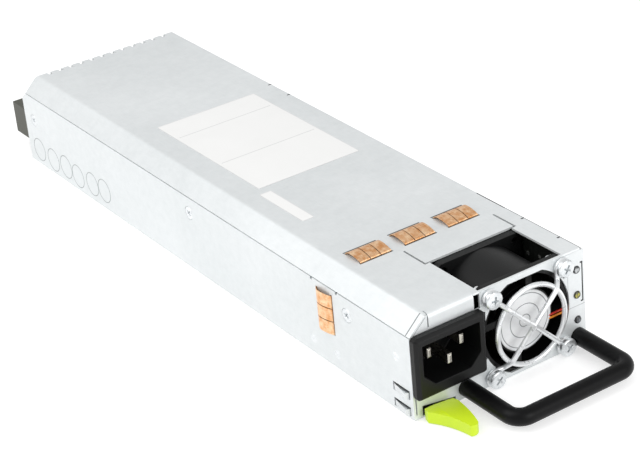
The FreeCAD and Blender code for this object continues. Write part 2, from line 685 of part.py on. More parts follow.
def polar(feature, axis, count):
    body = feature.getParentGeoFeatureGroup()
    pattern = body.newObject("PartDesign::PolarPattern", body.Name + "_round")
    pattern.Originals = [feature]
    pattern.Axis = (origin_part(body, AXES[axis]), [""])
    pattern.Angle = 360
    pattern.Occurrences = int(count.value)
    body.Tip = pattern
    return pattern


def row(feature, axis, pitch, count):
    body = feature.getParentGeoFeatureGroup()
    pattern = body.newObject("PartDesign::LinearPattern", body.Name + "_row")
    pattern.Originals = [feature]
    pattern.Direction = (origin_part(body, AXES[axis]), [""])
    bind(pattern, "Length", pitch * (count - 1))
    pattern.Occurrences = int(count.value)
    body.Tip = pattern
    return pattern


def along(axis, **places):
    """A test for straight edges along an axis whose middle lies at the given places."""
    def chosen(edge):
        if edge.Curve.TypeId != "Part::GeomLine":
            return False
        if abs(abs(getattr(edge.Curve.Direction, axis)) - 1) > 1e-6:
            return False
        return at_place(edge.CenterOfGravity, places)
    return chosen


def lying(z):
    """A test for edges that lie flat at that height."""
    level = as_size(z).value

    def chosen(edge):
        return max(abs(edge.BoundBox.ZMin - level), abs(edge.BoundBox.ZMax - level)) < 1e-4
    return chosen


def round_edge(**places):
    """A test for circular edges whose centre lies at the given places; radius is one of them."""
    def chosen(edge):
        if edge.Curve.TypeId != "Part::GeomCircle":
            return False
        radius = places.get("radius")
        if radius is not None and abs(edge.Curve.Radius - as_size(radius).value) > 1e-4:
            return False
        return at_place(edge.Curve.Center, places)
    return chosen


def at_place(point, places):
    for axis in ("x", "y", "z"):
        if axis in places and abs(getattr(point, axis) - as_size(places[axis]).value) > 1e-4:
            return False
    return True


def dress(body, kind, size, *tests):
    """A fillet or chamfer on the edges of the body's last feature that pass one of the tests."""
    DOC.recompute()
    base = body.Tip
    names = ["Edge%d" % number for number, edge in enumerate(base.Shape.Edges, 1)
             if any(test(edge) for test in tests)]
    if not names:
        raise RuntimeError("%s: no edge to dress" % body.Label)
    made = body.newObject("PartDesign::" + kind, "%s_%s" % (body.Name, kind.lower()))
    made.Base = (base, names)
    bind(made, "Radius" if kind == "Fillet" else "Size", size)
    body.Tip = made
    return made


def keep(thing, label=None):
    if label is not None:
        thing.Label = label
    NODES.append(thing)
    return thing


# ---------------------------------------------------------------------------------------------------
# Primitives
# ---------------------------------------------------------------------------------------------------

TURNS = {
    "X": FreeCAD.Rotation(FreeCAD.Vector(0, 1, 0), 90),
    "Y": FreeCAD.Rotation(FreeCAD.Vector(1, 0, 0), -90),
    "Z": FreeCAD.Rotation(),
}


def primitive(kind, name, place, axis="Z", **sizes):
    thing = DOC.addObject("Part::" + kind, name)
    thing.Placement = FreeCAD.Placement(FreeCAD.Vector(), TURNS[axis])
    put(thing, place)
    for prop, size in sizes.items():
        bind(thing, prop, size)
    return thing


def block(name, low, size):
    return primitive("Box", name, low, Length=size[0], Width=size[1], Height=size[2])


def joined(name, *pieces):
    whole = DOC.addObject("Part::MultiFuse", name)
    whole.Shapes = list(pieces)
    return whole


def group(label, pieces):
    together = DOC.addObject("Part::Compound", label)
    together.Links = list(pieces)
    return keep(together, label)


def free_shape(label, shape, place=(0, 0, 0)):
    thing = DOC.addObject("Part::Feature", label)
    thing.Shape = shape
    put(thing, place)
    return keep(thing, label)


def rounded_path(points, radius):
    """Straight runs through the points, joined by tangent arcs of the radius or what the runs allow."""
    points = [FreeCAD.Vector(*[as_size(value).value for value in point]) for point in points]
    edges = []
    start = points[0]
    for before, corner, after in zip(points, points[1:], points[2:]):
        back = before - corner
        ahead = after - corner
        half_turn = (math.pi - back.getAngle(ahead)) / 2
        reach = min(as_size(radius).value * math.tan(half_turn), 0.45 * min(back.Length, ahead.Length))
        arc_radius = reach / math.tan(half_turn)
        back.normalize()
        ahead.normalize()
        aim = (back + ahead).normalize()
        first = corner + back * reach
        last = corner + ahead * reach
        middle = corner + aim * (arc_radius / math.cos(half_turn) - arc_radius)
        edges.append(Part.LineSegment(start, first).toShape())
        edges.append(Part.Arc(first, middle, last).toShape())
        start = last
    edges.append(Part.LineSegment(start, points[-1]).toShape())
    return Part.Wire(edges)


def tube_along(path, radius):
    start = path.OrderedVertexes[0].Point
    direction = path.OrderedEdges[0].tangentAt(path.OrderedEdges[0].FirstParameter)
    circle = Part.Wire([Part.makeCircle(as_size(radius).value, start, direction)])
    return path.makePipeShell([circle], True, False)


TOWARDS = {
    "-X": FreeCAD.Rotation(FreeCAD.Vector(0, 1, 0), -90),
    "+Y": FreeCAD.Rotation(FreeCAD.Vector(1, 0, 0), -90),
    "-Y": FreeCAD.Rotation(FreeCAD.Vector(1, 0, 0), 90),
    "+Z": FreeCAD.Rotation(),
}


def turned(name, place, towards, *corners):
    """A turned piece: the (radius, height) corners revolve about the axis that points towards."""
    body = new_body(name, place, TOWARDS[towards])
    Profile(body, "XZ").outline(*corners).revolve("Z")
    return body


# ---------------------------------------------------------------------------------------------------
# Casing
# ---------------------------------------------------------------------------------------------------

COVER_SCREWS = [
    (FRONT + D.screw_first, SIDE_LOW + D.screw_up),
    (FRONT + D.screw_second, SIDE_LOW + D.screw_up),
    (BACK - D.screw_last, SIDE_LOW - D.screw_last_down),
]
LATCH_RIVETS = [(FRONT + D.latch_rivet_near, LEAF_Z), (FRONT + D.latch_rivet_far, LEAF_Z)]
FACE_RIVET = (FRONT + D.lap_rivet_back, SEAM - D.lap_rivet_down)
FAN_SCREWS = [(FAN_X + side * SCREW_OFFSET, FAN_Z + rise * SCREW_OFFSET)
              for side in (-1, 1) for rise in (-1, 1)]
LAMP_LABELS = ("led_bottom", "led_middle", "led_top")
LAMP_PITCH = (D.case_height - D.lamp_high - D.lamp_low) / (len(LAMP_LABELS) - 1)
LAMPS = [D.lamp_low + number * LAMP_PITCH for number in range(len(LAMP_LABELS))]
CLIP_CENTRES = [LEFT + D.clip_first + number * D.clip_pitch for number in range(3)]
SIDE_CLIP_Z = (LATCH_HIGH + SEAM) / 2 + D.side_clip_rise
BEVEL_LENGTH = hypotenuse(D.bevel_across, D.bevel_down)


def left_wall_cut(body):
    return Profile(body, "YZ", LEFT - MARGIN)


def face_cut(body):
    return Profile(body, "XZ", FRONT - MARGIN)


def chassis_tray():
    body = new_body("chassis_tray")
    end = BACK + D.wall_overrun
    Profile(body, "XY").rectangle(LEFT, FRONT, RIGHT, end).pad(D.case_height)
    dress(body, "Fillet", D.bend, along("y", x=LEFT, z=0), along("y", x=RIGHT, z=0), along("x", y=FRONT, z=0))
    Profile(body, "XY", D.sheet).rectangle(
        LEFT_INSIDE, FAN_FRONT, RIGHT_INSIDE, end + MARGIN).pocket(D.case_height)
    dress(body, "Fillet", D.bend - D.sheet, along("y", x=LEFT_INSIDE, z=D.sheet),
          along("y", x=RIGHT_INSIDE, z=D.sheet))
    tray_edges(body, end)
    tray_rear(body)
    tray_face(body)
    tray_left_wall(body)
    keep(body)


def tray_edges(body, end):
    whole = D.case_length + D.wall_overrun + 2 * MARGIN
    above = D.case_height + MARGIN
    face_cut(body).rectangle(LEFT - MARGIN, SEAM, CUT_LEFT, above).pocket(whole)
    face_cut(body).rectangle(CUT_RIGHT, UNDER_TOP - D.slip, RIGHT + MARGIN, above).pocket(whole)
    face_cut(body).rectangle(RIGHT_INSIDE, RIGHT_TOP, RIGHT + MARGIN, above).pocket(whole)
    low = SEAM - D.overrun_slope
    Profile(body, "YZ").outline(
        (BACK + D.slip, SEAM), (end, low), (end + MARGIN, low), (end + MARGIN, above),
        (BACK + D.slip, above)).pocket(CASE_WIDTH + 2 * MARGIN, both=True)


def tray_rear(body):
    Profile(body, "XZ", BACK - D.sheet).rectangle(
        LEFT_INSIDE, D.sheet / 2, RIGHT_INSIDE, REAR_SEAM).pad(D.sheet)
    half = D.plug_width / 2 + D.plug_slack
    low = BOARD_TOP - D.plug_slack
    behind = BACK - D.sheet - MARGIN
    through = D.sheet + 2 * MARGIN
    Profile(body, "XZ", behind).rectangle(
        PLUG_X - half, low, PLUG_X + half, REAR_SEAM + MARGIN).pocket(through)
    first = PLUG_X + D.plug_width / 2 + D.rear_vent_gap
    vent = Profile(body, "XZ", behind).rectangle(
        first - D.vent_width / 2, D.rear_vent_up,
        first + D.vent_width / 2, D.rear_vent_up + D.rear_vent_height).pocket(through)
    row(vent, "X", D.vent_pitch, D.rear_vent_count)


def tray_face(body):
    through = D.sheet + 2 * MARGIN
    slit_top = LATCH_HIGH + D.lap_low
    Profile(body, "YZ", LEFT_FLANGE).rectangle(
        FRONT + D.sheet / 2, slit_top, FRONT + D.lap_length, SEAM - D.lap_high).pad(D.sheet)
    face_cut(body).rectangle(LEFT_INSIDE, slit_top - MARGIN, LEFT_FLANGE, SEAM + MARGIN).pocket(through)
    face_cut(body).rectangle(
        LEFT_INSIDE, D.seam_low, LEFT_INSIDE + D.seam_slit, slit_top).pocket(through)
    tick = RIGHT_INSIDE - D.edge_tick
    slit = RIGHT_INSIDE - D.edge_slit
    low = D.edge_slit_low
    high = D.case_height - D.edge_slit_high
    face_cut(body).outline(
        (tick, low), (RIGHT_INSIDE, low), (RIGHT_INSIDE, high), (tick, high),
        (tick, high - D.edge_slit), (slit, high - D.edge_slit), (slit, low + D.edge_slit),
        (tick, low + D.edge_slit)).pocket(through)

    flat = root(D.opening_radius * D.opening_radius - D.opening_flat * D.opening_flat)
    top = FAN_Z + D.opening_flat
    bottom = FAN_Z - D.opening_flat
    face_cut(body).outline(
        (FAN_X + flat, bottom, D.opening_radius), (FAN_X + flat, top),
        (FAN_X - flat, top, D.opening_radius), (FAN_X - flat, bottom)).pocket(through)
    face_cut(body).rectangle(
        INLET_X - D.inlet_body_width / 2 - D.slip, INLET_FLOOR - D.slip,
        FAN_LEFT + D.fan_gap, INLET_ROOF + D.slip).pocket(through)
    mouth_low = FOOT_Z - D.mouth_low
    mouth_high = FOOT_Z + D.plate + D.mouth_high
    face_cut(body).outline(
        (LEFT + D.mouth_left, mouth_low), (LEFT + D.foot_right + D.mouth_right, mouth_low),
        (LEFT + D.foot_right + D.mouth_right, mouth_high - D.mouth_slope),
        (LEFT + D.mouth_left, mouth_high)).pocket(through)
    holes = face_cut(body)
    for x, z in FAN_SCREWS:
        holes.circle(x, z, D.fan_screw + D.slip)
    for x in (HANDLE_LEFT, HANDLE_RIGHT):
        holes.circle(x, HANDLE_Z, D.neck_radius)
    for z in LAMPS:
        holes.circle(LAMP_X, z, D.lamp_radius + D.lamp_slack)
    holes.pocket(through)


def tray_left_wall(body):
    through = MARGIN + D.sheet + D.slip / 2
    holes = left_wall_cut(body)
    for y, z in COVER_SCREWS:
        holes.circle(y, z, D.screw_shank + D.slip)
    for y, z in LATCH_RIVETS:
        holes.circle(y, z, D.rivet_shank)
    for low in (UPPER_TOOTH, LOWER_TOOTH):
        front = FRONT + D.tooth_front
        holes.rectangle(front - D.slot_slack, low - D.tooth_slack,
                        front + D.tooth_length + D.slot_slack, low + D.tooth_height + D.tooth_over)
    half = D.side_clip_width / 2 + D.slot_room
    for low, high in clip_slots(FRONT + D.side_clip_front):
        holes.rectangle(low, SIDE_CLIP_Z - half, high, SIDE_CLIP_Z + half)
    for y in notch_places():
        holes.rectangle(y - D.notch_length / 2, SEAM - D.notch_depth, y + D.notch_length / 2, SEAM + MARGIN)
    holes.pocket(through)
    left_wall_cut(body).circle(*FACE_RIVET, D.rivet_shank).pocket(MARGIN + 2 * D.sheet + 2 * D.slip)
    recess = left_wall_cut(body)
    for y, z in COVER_SCREWS:
        recess.circle(y, z, D.screw_head + D.slip)
    recess.pocket(MARGIN + D.screw_sink)
    recess = left_wall_cut(body)
    for y, z in LATCH_RIVETS + [FACE_RIVET]:
        recess.circle(y, z, D.rivet_head)
    recess.pocket(MARGIN + D.rivet_sink)


def clip_slots(front):
    """Front and rear ends of the two slots of a spring clip whose front edge is given."""
    back = front + D.clip_length
    return [(front - D.slot_room, front - D.slot_room + D.clip_slot),
            (back + D.slot_room - D.clip_slot, back + D.slot_room)]


def notch_places():
    front = FRONT + D.side_clip_front
    return [front - D.notch_clear, front + D.clip_length + D.notch_clear]


def inside_bevel(z):
    """X of a flange edge that follows the inside of the bevel."""
    rise = D.bevel_across * (z - SEAM) / D.bevel_down
    return LEFT + rise + (D.sheet + D.bevel_gap) * BEVEL_LENGTH / D.bevel_down


def top_cover():
    body = new_body("top_cover")
    half_turn = (BEVEL_LENGTH - D.bevel_across) / D.bevel_down
    across = D.bevel_across / BEVEL_LENGTH
    down = D.bevel_down / BEVEL_LENGTH
    outer = D.soft_bend * half_turn
    inner = (D.soft_bend - D.sheet) * half_turn
    corner = LEFT + D.bevel_across
    inner_top = corner + D.sheet * half_turn
    inner_low = SEAM + (D.bevel_down * (2 * D.sheet + D.slip) - D.sheet * BEVEL_LENGTH) / D.bevel_across
    low = SIDE_LOW
    lip = SEAM + D.seam_gap
    right_low = D.case_height - D.right_drop
    Profile(body, "XZ", FRONT).outline(
        (LEFT_FLANGE, low), (LEFT_FLANGE + D.sheet, low), (LEFT_FLANGE + D.sheet, inner_low),
        (inner_top - inner * across, UNDER_TOP - inner * down, D.soft_bend - D.sheet, -1),
        (inner_top + inner, UNDER_TOP), (RIGHT_FLANGE - D.sheet, UNDER_TOP),
        (RIGHT_FLANGE - D.sheet, right_low), (RIGHT_FLANGE, right_low),
        (RIGHT_FLANGE, D.case_height - D.tight_bend, D.tight_bend),
        (RIGHT_FLANGE - D.tight_bend, D.case_height), (corner + outer, D.case_height, D.soft_bend),
        (corner - outer * across, D.case_height - outer * down),
        (LEFT + D.bevel_across * D.seam_gap / D.bevel_down, lip), (LEFT_FLANGE, lip)).pad(D.case_length)
    cover_flanges(body)
    relief = corner + D.relief_right
    front_fold(body, relief)
    round_end(body, FRONT, -1, D.tight_bend, LEFT, relief)
    round_end(body, FRONT, -1, D.front_bend, relief, SPLIT)
    round_end(body, FRONT, -1, D.tight_bend, SPLIT, RIGHT)
    round_end(body, BACK, 1, D.bend, LEFT, RIGHT)
    cover_cuts(body)
    keep(body)


def front_fold(body, relief):
    """The inside of the fold over the inlet, and the relief slit at its left end."""
    inside = D.front_bend - D.sheet
    Profile(body, "YZ", relief).outline(
        (FAN_FRONT, UNDER_TOP), (FAN_FRONT, UNDER_TOP - inside, inside, -1),
        (FAN_FRONT + inside, UNDER_TOP)).pad(SPLIT - relief)
    Profile(body, "YZ", relief - D.relief_width).rectangle(
        FRONT - MARGIN, D.case_height - D.relief_drop, FRONT + D.relief_back,
        D.case_height + MARGIN).pocket(D.relief_width)


def round_end(body, y, way, radius, left, right):
    """The rounded fold between the top and an end flange, from left to right."""
    top = D.case_height
    Profile(body, "YZ", left).outline(
        (y, top - radius, radius, way), (y - way * radius, top), (y - way * radius, top + MARGIN),
        (y + way * MARGIN, top + MARGIN), (y + way * MARGIN, top - radius)).pocket(right - left)


def cover_flanges(body):
    front_low = SEAM + D.flange_gap
    Profile(body, "XZ", FRONT).outline(
        (inside_bevel(front_low), front_low), (SPLIT, front_low), (SPLIT, UNDER_TOP),
        (inside_bevel(UNDER_TOP), UNDER_TOP)).pad(D.sheet)
    rear_low = REAR_SEAM + D.seam_gap
    left = LEFT_FLANGE + D.sheet + D.bevel_gap
    right = RIGHT_FLANGE - D.sheet - D.bevel_gap
    shoulder = SEAM + (left - inside_bevel(SEAM)) * D.bevel_down / D.bevel_across
    Profile(body, "XZ", BACK - D.sheet).outline(
        (left, rear_low), (right, rear_low), (right, UNDER_TOP), (inside_bevel(UNDER_TOP), UNDER_TOP),
        (left, shoulder)).pad(D.sheet)
    ear_top = SIDE_LOW
    Profile(body, "YZ", LEFT_FLANGE).rectangle(
        BACK - D.sheet - D.ear_length, ear_top - D.ear_drop, BACK - D.sheet, ear_top).pad(D.sheet)


def cover_cuts(body):
    top = D.case_height + MARGIN
    through = D.sheet + 2 * MARGIN
    back = FRONT + D.cutout_back
    Profile(body, "XY", top).rectangle(CUT_LEFT, FRONT - MARGIN, CUT_RIGHT, back).pocket(through, way=-1)
    for edge, side in ((CUT_LEFT, -1), (CUT_RIGHT, 1)):
        near = edge + side * D.slit_out
        far = near + side * D.slit_width
        Profile(body, "XY", top).outline(
            (edge - side * MARGIN, back - D.slit_width), (far, back - D.slit_width),
            (far, back + D.slit_length), (near, back + D.slit_length), (near, back),
            (edge - side * MARGIN, back)).pocket(through, way=-1)
    marks = Profile(body, "XY", top).rectangle(
        RIGHT - D.edge_seam, FRONT + D.edge_seam_front,
        RIGHT - D.edge_seam + D.edge_seam_width, FRONT + D.edge_seam_back)
    half = D.edge_tab_slit / 2
    for y in (D.edge_tab_first, D.edge_tab_second, D.edge_tab_third, D.edge_tab_last):
        marks.rectangle(RIGHT - D.edge_tab, FRONT + y - half, RIGHT + MARGIN, FRONT + y + half)
    marks.pocket(through, way=-1)
    first = LEFT + D.vent_start
    vent = Profile(body, "XY", top).rectangle(
        first - D.vent_width / 2, BACK - D.vent_reach,
        first + D.vent_width / 2, BACK + MARGIN).pocket(MARGIN + D.vent_drop, way=-1)
    row(vent, "X", D.vent_pitch, D.vent_count)
    slots = Profile(body, "XY", top)
    half = D.clip_width / 2 + D.slot_room
    for x in CLIP_CENTRES:
        for low, high in clip_slots(FRONT + D.clip_front):
            slots.rectangle(x - half, low, x + half, high)
    slots.pocket(through, way=-1)
    side = Profile(body, "YZ", LEFT_FLANGE - D.slip / 2)
    flange_low = SIDE_LOW - MARGIN
    near, far = notch_places()
    side.rectangle(near, flange_low, far, SEAM)
    side.rectangle(FRONT - MARGIN, flange_low, FRONT + D.lap_length + MARGIN, SEAM)
    for y, z in COVER_SCREWS:
        side.circle(y, z, D.screw_shank)
    side.pocket(D.sheet + D.slip)
    Profile(body, "YZ", RIGHT_FLANGE - D.sheet - D.slip).rectangle(
        FRONT - MARGIN, D.case_height - D.right_drop - MARGIN, FAN_FRONT + MARGIN, UNDER_TOP).pocket(
        D.sheet + 2 * D.slip)


def cover_screws():
    screws = []
    for number, (y, z) in enumerate(COVER_SCREWS, 1):
        screws.append(turned(
            "cover_screw_%d" % number, (LEFT + D.screw_sink, y, z), "-X",
            (0, -D.screw_length), (D.screw_shank, -D.screw_length), (D.screw_shank, 0),
            (D.screw_head, 0), (D.screw_head, D.screw_sink), (0, D.screw_sink)))
    group("cover_screws", screws)


def flush_rivet(name, y, z, grip):
    """A rivet with its flush head in the left wall and its tail behind the grip."""
    return turned(
        name, (LEFT + D.rivet_sink, y, z), "-X",
        (0, D.rivet_sink - grip - D.tail_height), (D.rivet_tail, D.rivet_sink - grip - D.tail_height),
        (D.rivet_tail, D.rivet_sink - grip), (D.rivet_shank, D.rivet_sink - grip), (D.rivet_shank, 0),
        (D.rivet_head, 0), (D.rivet_head, D.rivet_sink), (0, D.rivet_sink))


def rivets():
    keep(flush_rivet("face_rivet", *FACE_RIVET, 2 * D.sheet + D.slip))
    group("latch_rivets", [flush_rivet("latch_rivet_%d" % number, y, z, D.sheet + D.leaf)
                           for number, (y, z) in enumerate(LATCH_RIVETS, 1)])


def arch_radius(run, rise):
    """Radius of an arc that is level at its crest and falls by the rise over the run."""
    return (run * run + rise * rise) / (2 * rise)


def spring_clip(label, place, towards, width):
    """A closed band of copper strip: flat under the sheet, through two slots, arched outside."""
    body = new_body(label, place, TOWARDS[towards])
    strip = D.clip_strip
    end = D.clip_length
    crest = D.clip_crest
    rise = D.clip_rise - D.clip_lip
    under = -D.sheet
    band = Profile(body, "YZ")
    band.outline(
        (0, under - strip), (end, under - strip), (end, D.clip_lip, arch_radius(end - crest, rise)),
        (crest, D.clip_rise, arch_radius(crest, rise)), (0, D.clip_lip))
    inner = rise - strip
    band.outline(
        (strip, under), (end - strip, under),
        (end - strip, D.clip_lip, arch_radius(end - strip - crest, inner)),
        (crest, D.clip_rise - strip, arch_radius(crest - strip, inner)), (strip, D.clip_lip))
    band.pad(width, both=True)
    gaps = Profile(body, "XY", 0)
    for side in (-1, 1):
        middle = side * width / 6
        gaps.rectangle(middle - D.clip_gap / 2, -MARGIN, middle + D.clip_gap / 2, end + MARGIN)
    gaps.pocket(D.clip_rise + MARGIN)
    keep(body)


def spring_clips():
    for label, x in zip(("emi_clip_left", "emi_clip_middle", "emi_clip_right"), CLIP_CENTRES):
        spring_clip(label, (x, FRONT + D.clip_front, D.case_height), "+Z", D.clip_width)
    spring_clip("emi_clip_side", (LEFT, FRONT + D.side_clip_front, SIDE_CLIP_Z), "-X", D.side_clip_width)


# ---------------------------------------------------------------------------------------------------
# Mains inlet
# ---------------------------------------------------------------------------------------------------

CAVITY_Z = INLET_Z + D.cavity_rise
INLET_FRONT = FRONT - D.flange_proud
INLET_BACK = FAN_FRONT + D.inlet_body_depth
LINE_PIN = (-D.pin_pitch / 2, D.pin_offset, D.pin_set_back)
NEUTRAL_PIN = (D.pin_pitch / 2, D.pin_offset, D.pin_set_back)
EARTH_PIN = (0, -D.pin_offset, D.pin_set_back - D.earth_lead)


def inlet_housing():
    body = new_body("inlet_housing")
    half = D.inlet_width / 2
    rise = INLET_HEIGHT / 2
    Profile(body, "XZ", INLET_FRONT).rounded(
        INLET_X - half, INLET_Z - rise, INLET_X + half, INLET_Z + rise, D.flange_corner).pad(D.flange_proud)
    dress(body, "Chamfer", D.flange_bevel, along("x", y=INLET_FRONT, z=INLET_Z + rise))
    half = D.inlet_body_width / 2
    Profile(body, "XZ", FRONT).rectangle(
        INLET_X - half, INLET_FLOOR, INLET_X + half, INLET_ROOF).pad(D.sheet + D.inlet_body_depth)
    half = D.cavity_width / 2
    rise = (INLET_ROOF - INLET_FLOOR) / 2 - D.cavity_rim
    corner = D.cavity_corner
    Profile(body, "XZ", INLET_FRONT).outline(
        (INLET_X - half + corner, CAVITY_Z - rise), (INLET_X + half - corner, CAVITY_Z - rise),
        (INLET_X + half, CAVITY_Z - rise + corner), (INLET_X + half, CAVITY_Z + rise),
        (INLET_X - half, CAVITY_Z + rise), (INLET_X - half, CAVITY_Z - rise + corner)).pocket(D.cavity_depth)
    slots = Profile(body, "XZ", INLET_FRONT + D.cavity_depth - MARGIN)
    for aside, up, _ in (LINE_PIN, NEUTRAL_PIN, EARTH_PIN):
        slots.rectangle(INLET_X + aside - D.pin_wide / 2, CAVITY_Z + up - D.pin_tall / 2,
                        INLET_X + aside + D.pin_wide / 2, CAVITY_Z + up + D.pin_tall / 2)
    slots.pocket(D.inlet_body_depth + MARGIN)
    keep(body)


def inlet_pin(label, aside, up, set_back):
    body = new_body(label, (INLET_X + aside, 0, CAVITY_Z + up))
    tip = INLET_FRONT + set_back
    wide = D.pin_wide / 2
    tall = D.pin_tall / 2
    Profile(body, "XZ", tip).rectangle(-wide, -tall, wide, tall).pad(INLET_BACK - tip)
    dress(body, "Chamfer", D.pin_tip, along("x", y=tip), along("z", y=tip))
    Profile(body, "XZ", INLET_BACK).rectangle(
        -D.tab_thick / 2, -tall, D.tab_thick / 2, tall).pad(D.tab_length)
    keep(body)


def inlet_pins():
    inlet_pin("inlet_line_pin", *LINE_PIN)
    inlet_pin("inlet_neutral_pin", *NEUTRAL_PIN)
    inlet_pin("inlet_earth_pin", *EARTH_PIN)


# ---------------------------------------------------------------------------------------------------
# Fan; each piece is drawn about the shaft, with Y from the front of the frame
# ---------------------------------------------------------------------------------------------------

FAN_PLACE = (FAN_X, FAN_FRONT, FAN_Z)
PLATE_BACK = D.motor_set_back + D.motor_plate
CIRCUIT_BACK = PLATE_BACK + D.board_thick
HUB_FRONT = CIRCUIT_BACK + D.hub_gap
HUB_BACK = HUB_FRONT + D.hub_depth
HUB_RADIUS = D.motor_radius
TIP_RADIUS = BORE - D.tip_gap
POST_END = PLATE_BACK + D.post_length
SHAFT_START = PLATE_BACK + D.run_gap


def fan_frame():
    body = new_body("fan_frame", FAN_PLACE)
    half = FAN_SIZE / 2
    for level in (0, D.fan_depth - D.fan_flange):
        Profile(body, "XZ", level).rounded(-half, -half, half, half, D.fan_corner).pad(D.fan_flange)
    Profile(body, "XZ", D.fan_flange / 2).circle(0, 0, BARREL).pad(D.fan_depth - D.fan_flange)
    Profile(body, "XZ", -MARGIN).circle(0, 0, BORE).pocket(D.fan_depth + 2 * MARGIN)
    strut = Profile(body, "XZ", D.strut_set_back).rectangle(
        D.board_radius, -D.strut_drop - D.strut_width / 2,
        BORE + D.barrel_wall / 2, -D.strut_drop + D.strut_width / 2).pad(D.strut_depth)
    polar(strut, "Y", D.strut_count)
    Profile(body, "XZ", D.motor_set_back).circle(0, 0, D.motor_radius).pad(D.motor_plate)
    Profile(body, "XZ", PLATE_BACK).circle(0, 0, D.motor_radius + D.hub_gap).pocket(D.strut_depth)
    Profile(body, "XZ", PLATE_BACK - D.motor_plate / 2).circle(0, 0, D.post_radius).pad(
        D.post_length + D.motor_plate / 2)
    Profile(body, "XZ", PLATE_BACK).circle(0, 0, D.bearing_radius).pocket(D.post_length + MARGIN)
    window = D.lead_window / 2
    Profile(body, "XZ", -MARGIN).rectangle(
        BORE - D.lead_notch, -D.strut_drop - window, half + MARGIN, -D.strut_drop + window).pocket(
        MARGIN + D.lead_notch)
    Profile(body, "XZ", -MARGIN).rectangle(
        D.lead_start - window / 2, -D.strut_drop - window, D.motor_radius + MARGIN,
        -D.strut_drop + window).pocket(MARGIN + PLATE_BACK)
    holes = Profile(body, "XZ", -MARGIN)
    for side in (-1, 1):
        for rise in (-1, 1):
            holes.circle(side * SCREW_OFFSET, rise * SCREW_OFFSET, D.fan_screw)
    holes.pocket(D.fan_depth + 2 * MARGIN)
    keep(body)


def fan_rotor():
    body = new_body("fan_rotor", FAN_PLACE)
    Profile(body, "XZ", HUB_FRONT).circle(0, 0, HUB_RADIUS).pad(D.hub_depth)
    dress(body, "Fillet", D.hub_round, round_edge(y=HUB_BACK, radius=HUB_RADIUS))
    Profile(body, "XZ", HUB_FRONT).circle(0, 0, HUB_RADIUS - D.hub_wall).pocket(D.hub_depth - 2 * D.hub_wall)
    boss = POST_END + D.hub_gap
    Profile(body, "XZ", boss).circle(0, 0, D.bearing_radius).pad(HUB_BACK - D.hub_wall - boss)
    blade_y = HUB_FRONT + D.blade_front
    root_x = HUB_RADIUS - D.hub_wall / 2
    base = crescent(Profile(body, "YZ", root_x), blade_y, D.root_sweep)
    tip = crescent(Profile(body, "YZ", TIP_RADIUS + D.hub_wall / 4), blade_y, D.tip_sweep)
    blade = body.newObject("PartDesign::AdditiveLoft", "fan_rotor_blade")
    blade.Profile = base.sketch
    blade.Sections = [tip.sketch]
    blade.Ruled = True
    body.Tip = blade
    DOC.recompute()
    polar(blade, "Y", D.blade_count)
    Profile(body, "XZ", HUB_FRONT - MARGIN).circle(0, 0, TIP_RADIUS).circle(
        0, 0, BARREL + D.hub_wall).pocket(D.hub_depth + 2 * MARGIN)
    Profile(body, "XZ", 0).circle(0, 0, D.shaft_radius).pocket(D.fan_depth)
    keep(body)


def crescent(profile, start, sweep):
    """Blade section: a curved plate from the start to the chord's end, swept across Z."""
    low = -sweep / 2
    high = sweep / 2
    end = start + D.blade_chord
    return profile.outline((start, low, D.blade_thin), (end, high, D.blade_crown, -1))


def fan_motor():
    magnet_out = HUB_RADIUS - D.hub_wall
    magnet_in = magnet_out - D.magnet_wall
    magnet = new_body("fan_magnet", FAN_PLACE)
    front = HUB_BACK - 2 * D.hub_wall - D.magnet_depth
    Profile(magnet, "XZ", front).circle(0, 0, magnet_out).circle(0, 0, magnet_in).pad(D.magnet_depth)
    keep(magnet)

    keep(turned("fan_shaft", FAN_PLACE, "+Y",
                (0, SHAFT_START), (D.shaft_radius, SHAFT_START), (D.shaft_radius, HUB_BACK), (0, HUB_BACK)))

    bearings = []
    for number, start in enumerate((PLATE_BACK + D.slip, POST_END - D.bearing_width), 1):
        inner = D.shaft_radius + D.run_gap
        bearings.append(turned(
            "fan_bearing_%d" % number, FAN_PLACE, "+Y", (inner, start), (D.bearing_radius, start),
            (D.bearing_radius, start + D.bearing_width), (inner, start + D.bearing_width)))
    group("fan_bearings", bearings)

    stator_out = magnet_in - D.air_gap
    stator = new_body("fan_stator", FAN_PLACE)
    front = front + (D.magnet_depth - D.stator_depth) / 2
    Profile(stator, "XZ", front).circle(0, 0, stator_out).circle(0, 0, D.post_radius).pad(D.stator_depth)
    half = D.stator_slot / 2
    slot = Profile(stator, "XZ", front - MARGIN).rectangle(
        D.post_radius + D.stator_slot / 2, -half, stator_out + MARGIN, half).pocket(
        D.stator_depth + 2 * MARGIN)
    polar(slot, "Y", D.strut_count)
    keep(stator)

    circuit = new_body("fan_circuit_board", FAN_PLACE)
    Profile(circuit, "XZ", PLATE_BACK).circle(0, 0, D.board_radius).circle(0, 0, D.post_radius).pad(
        D.board_thick)
    keep(circuit)


# ---------------------------------------------------------------------------------------------------
# Finger guard and its screws
# ---------------------------------------------------------------------------------------------------

EYE_OUT = FRONT - D.wire


def guard_points(*rows):
    return [(FAN_X + x, FRONT - out, FAN_Z + z) for x, out, z in rows]


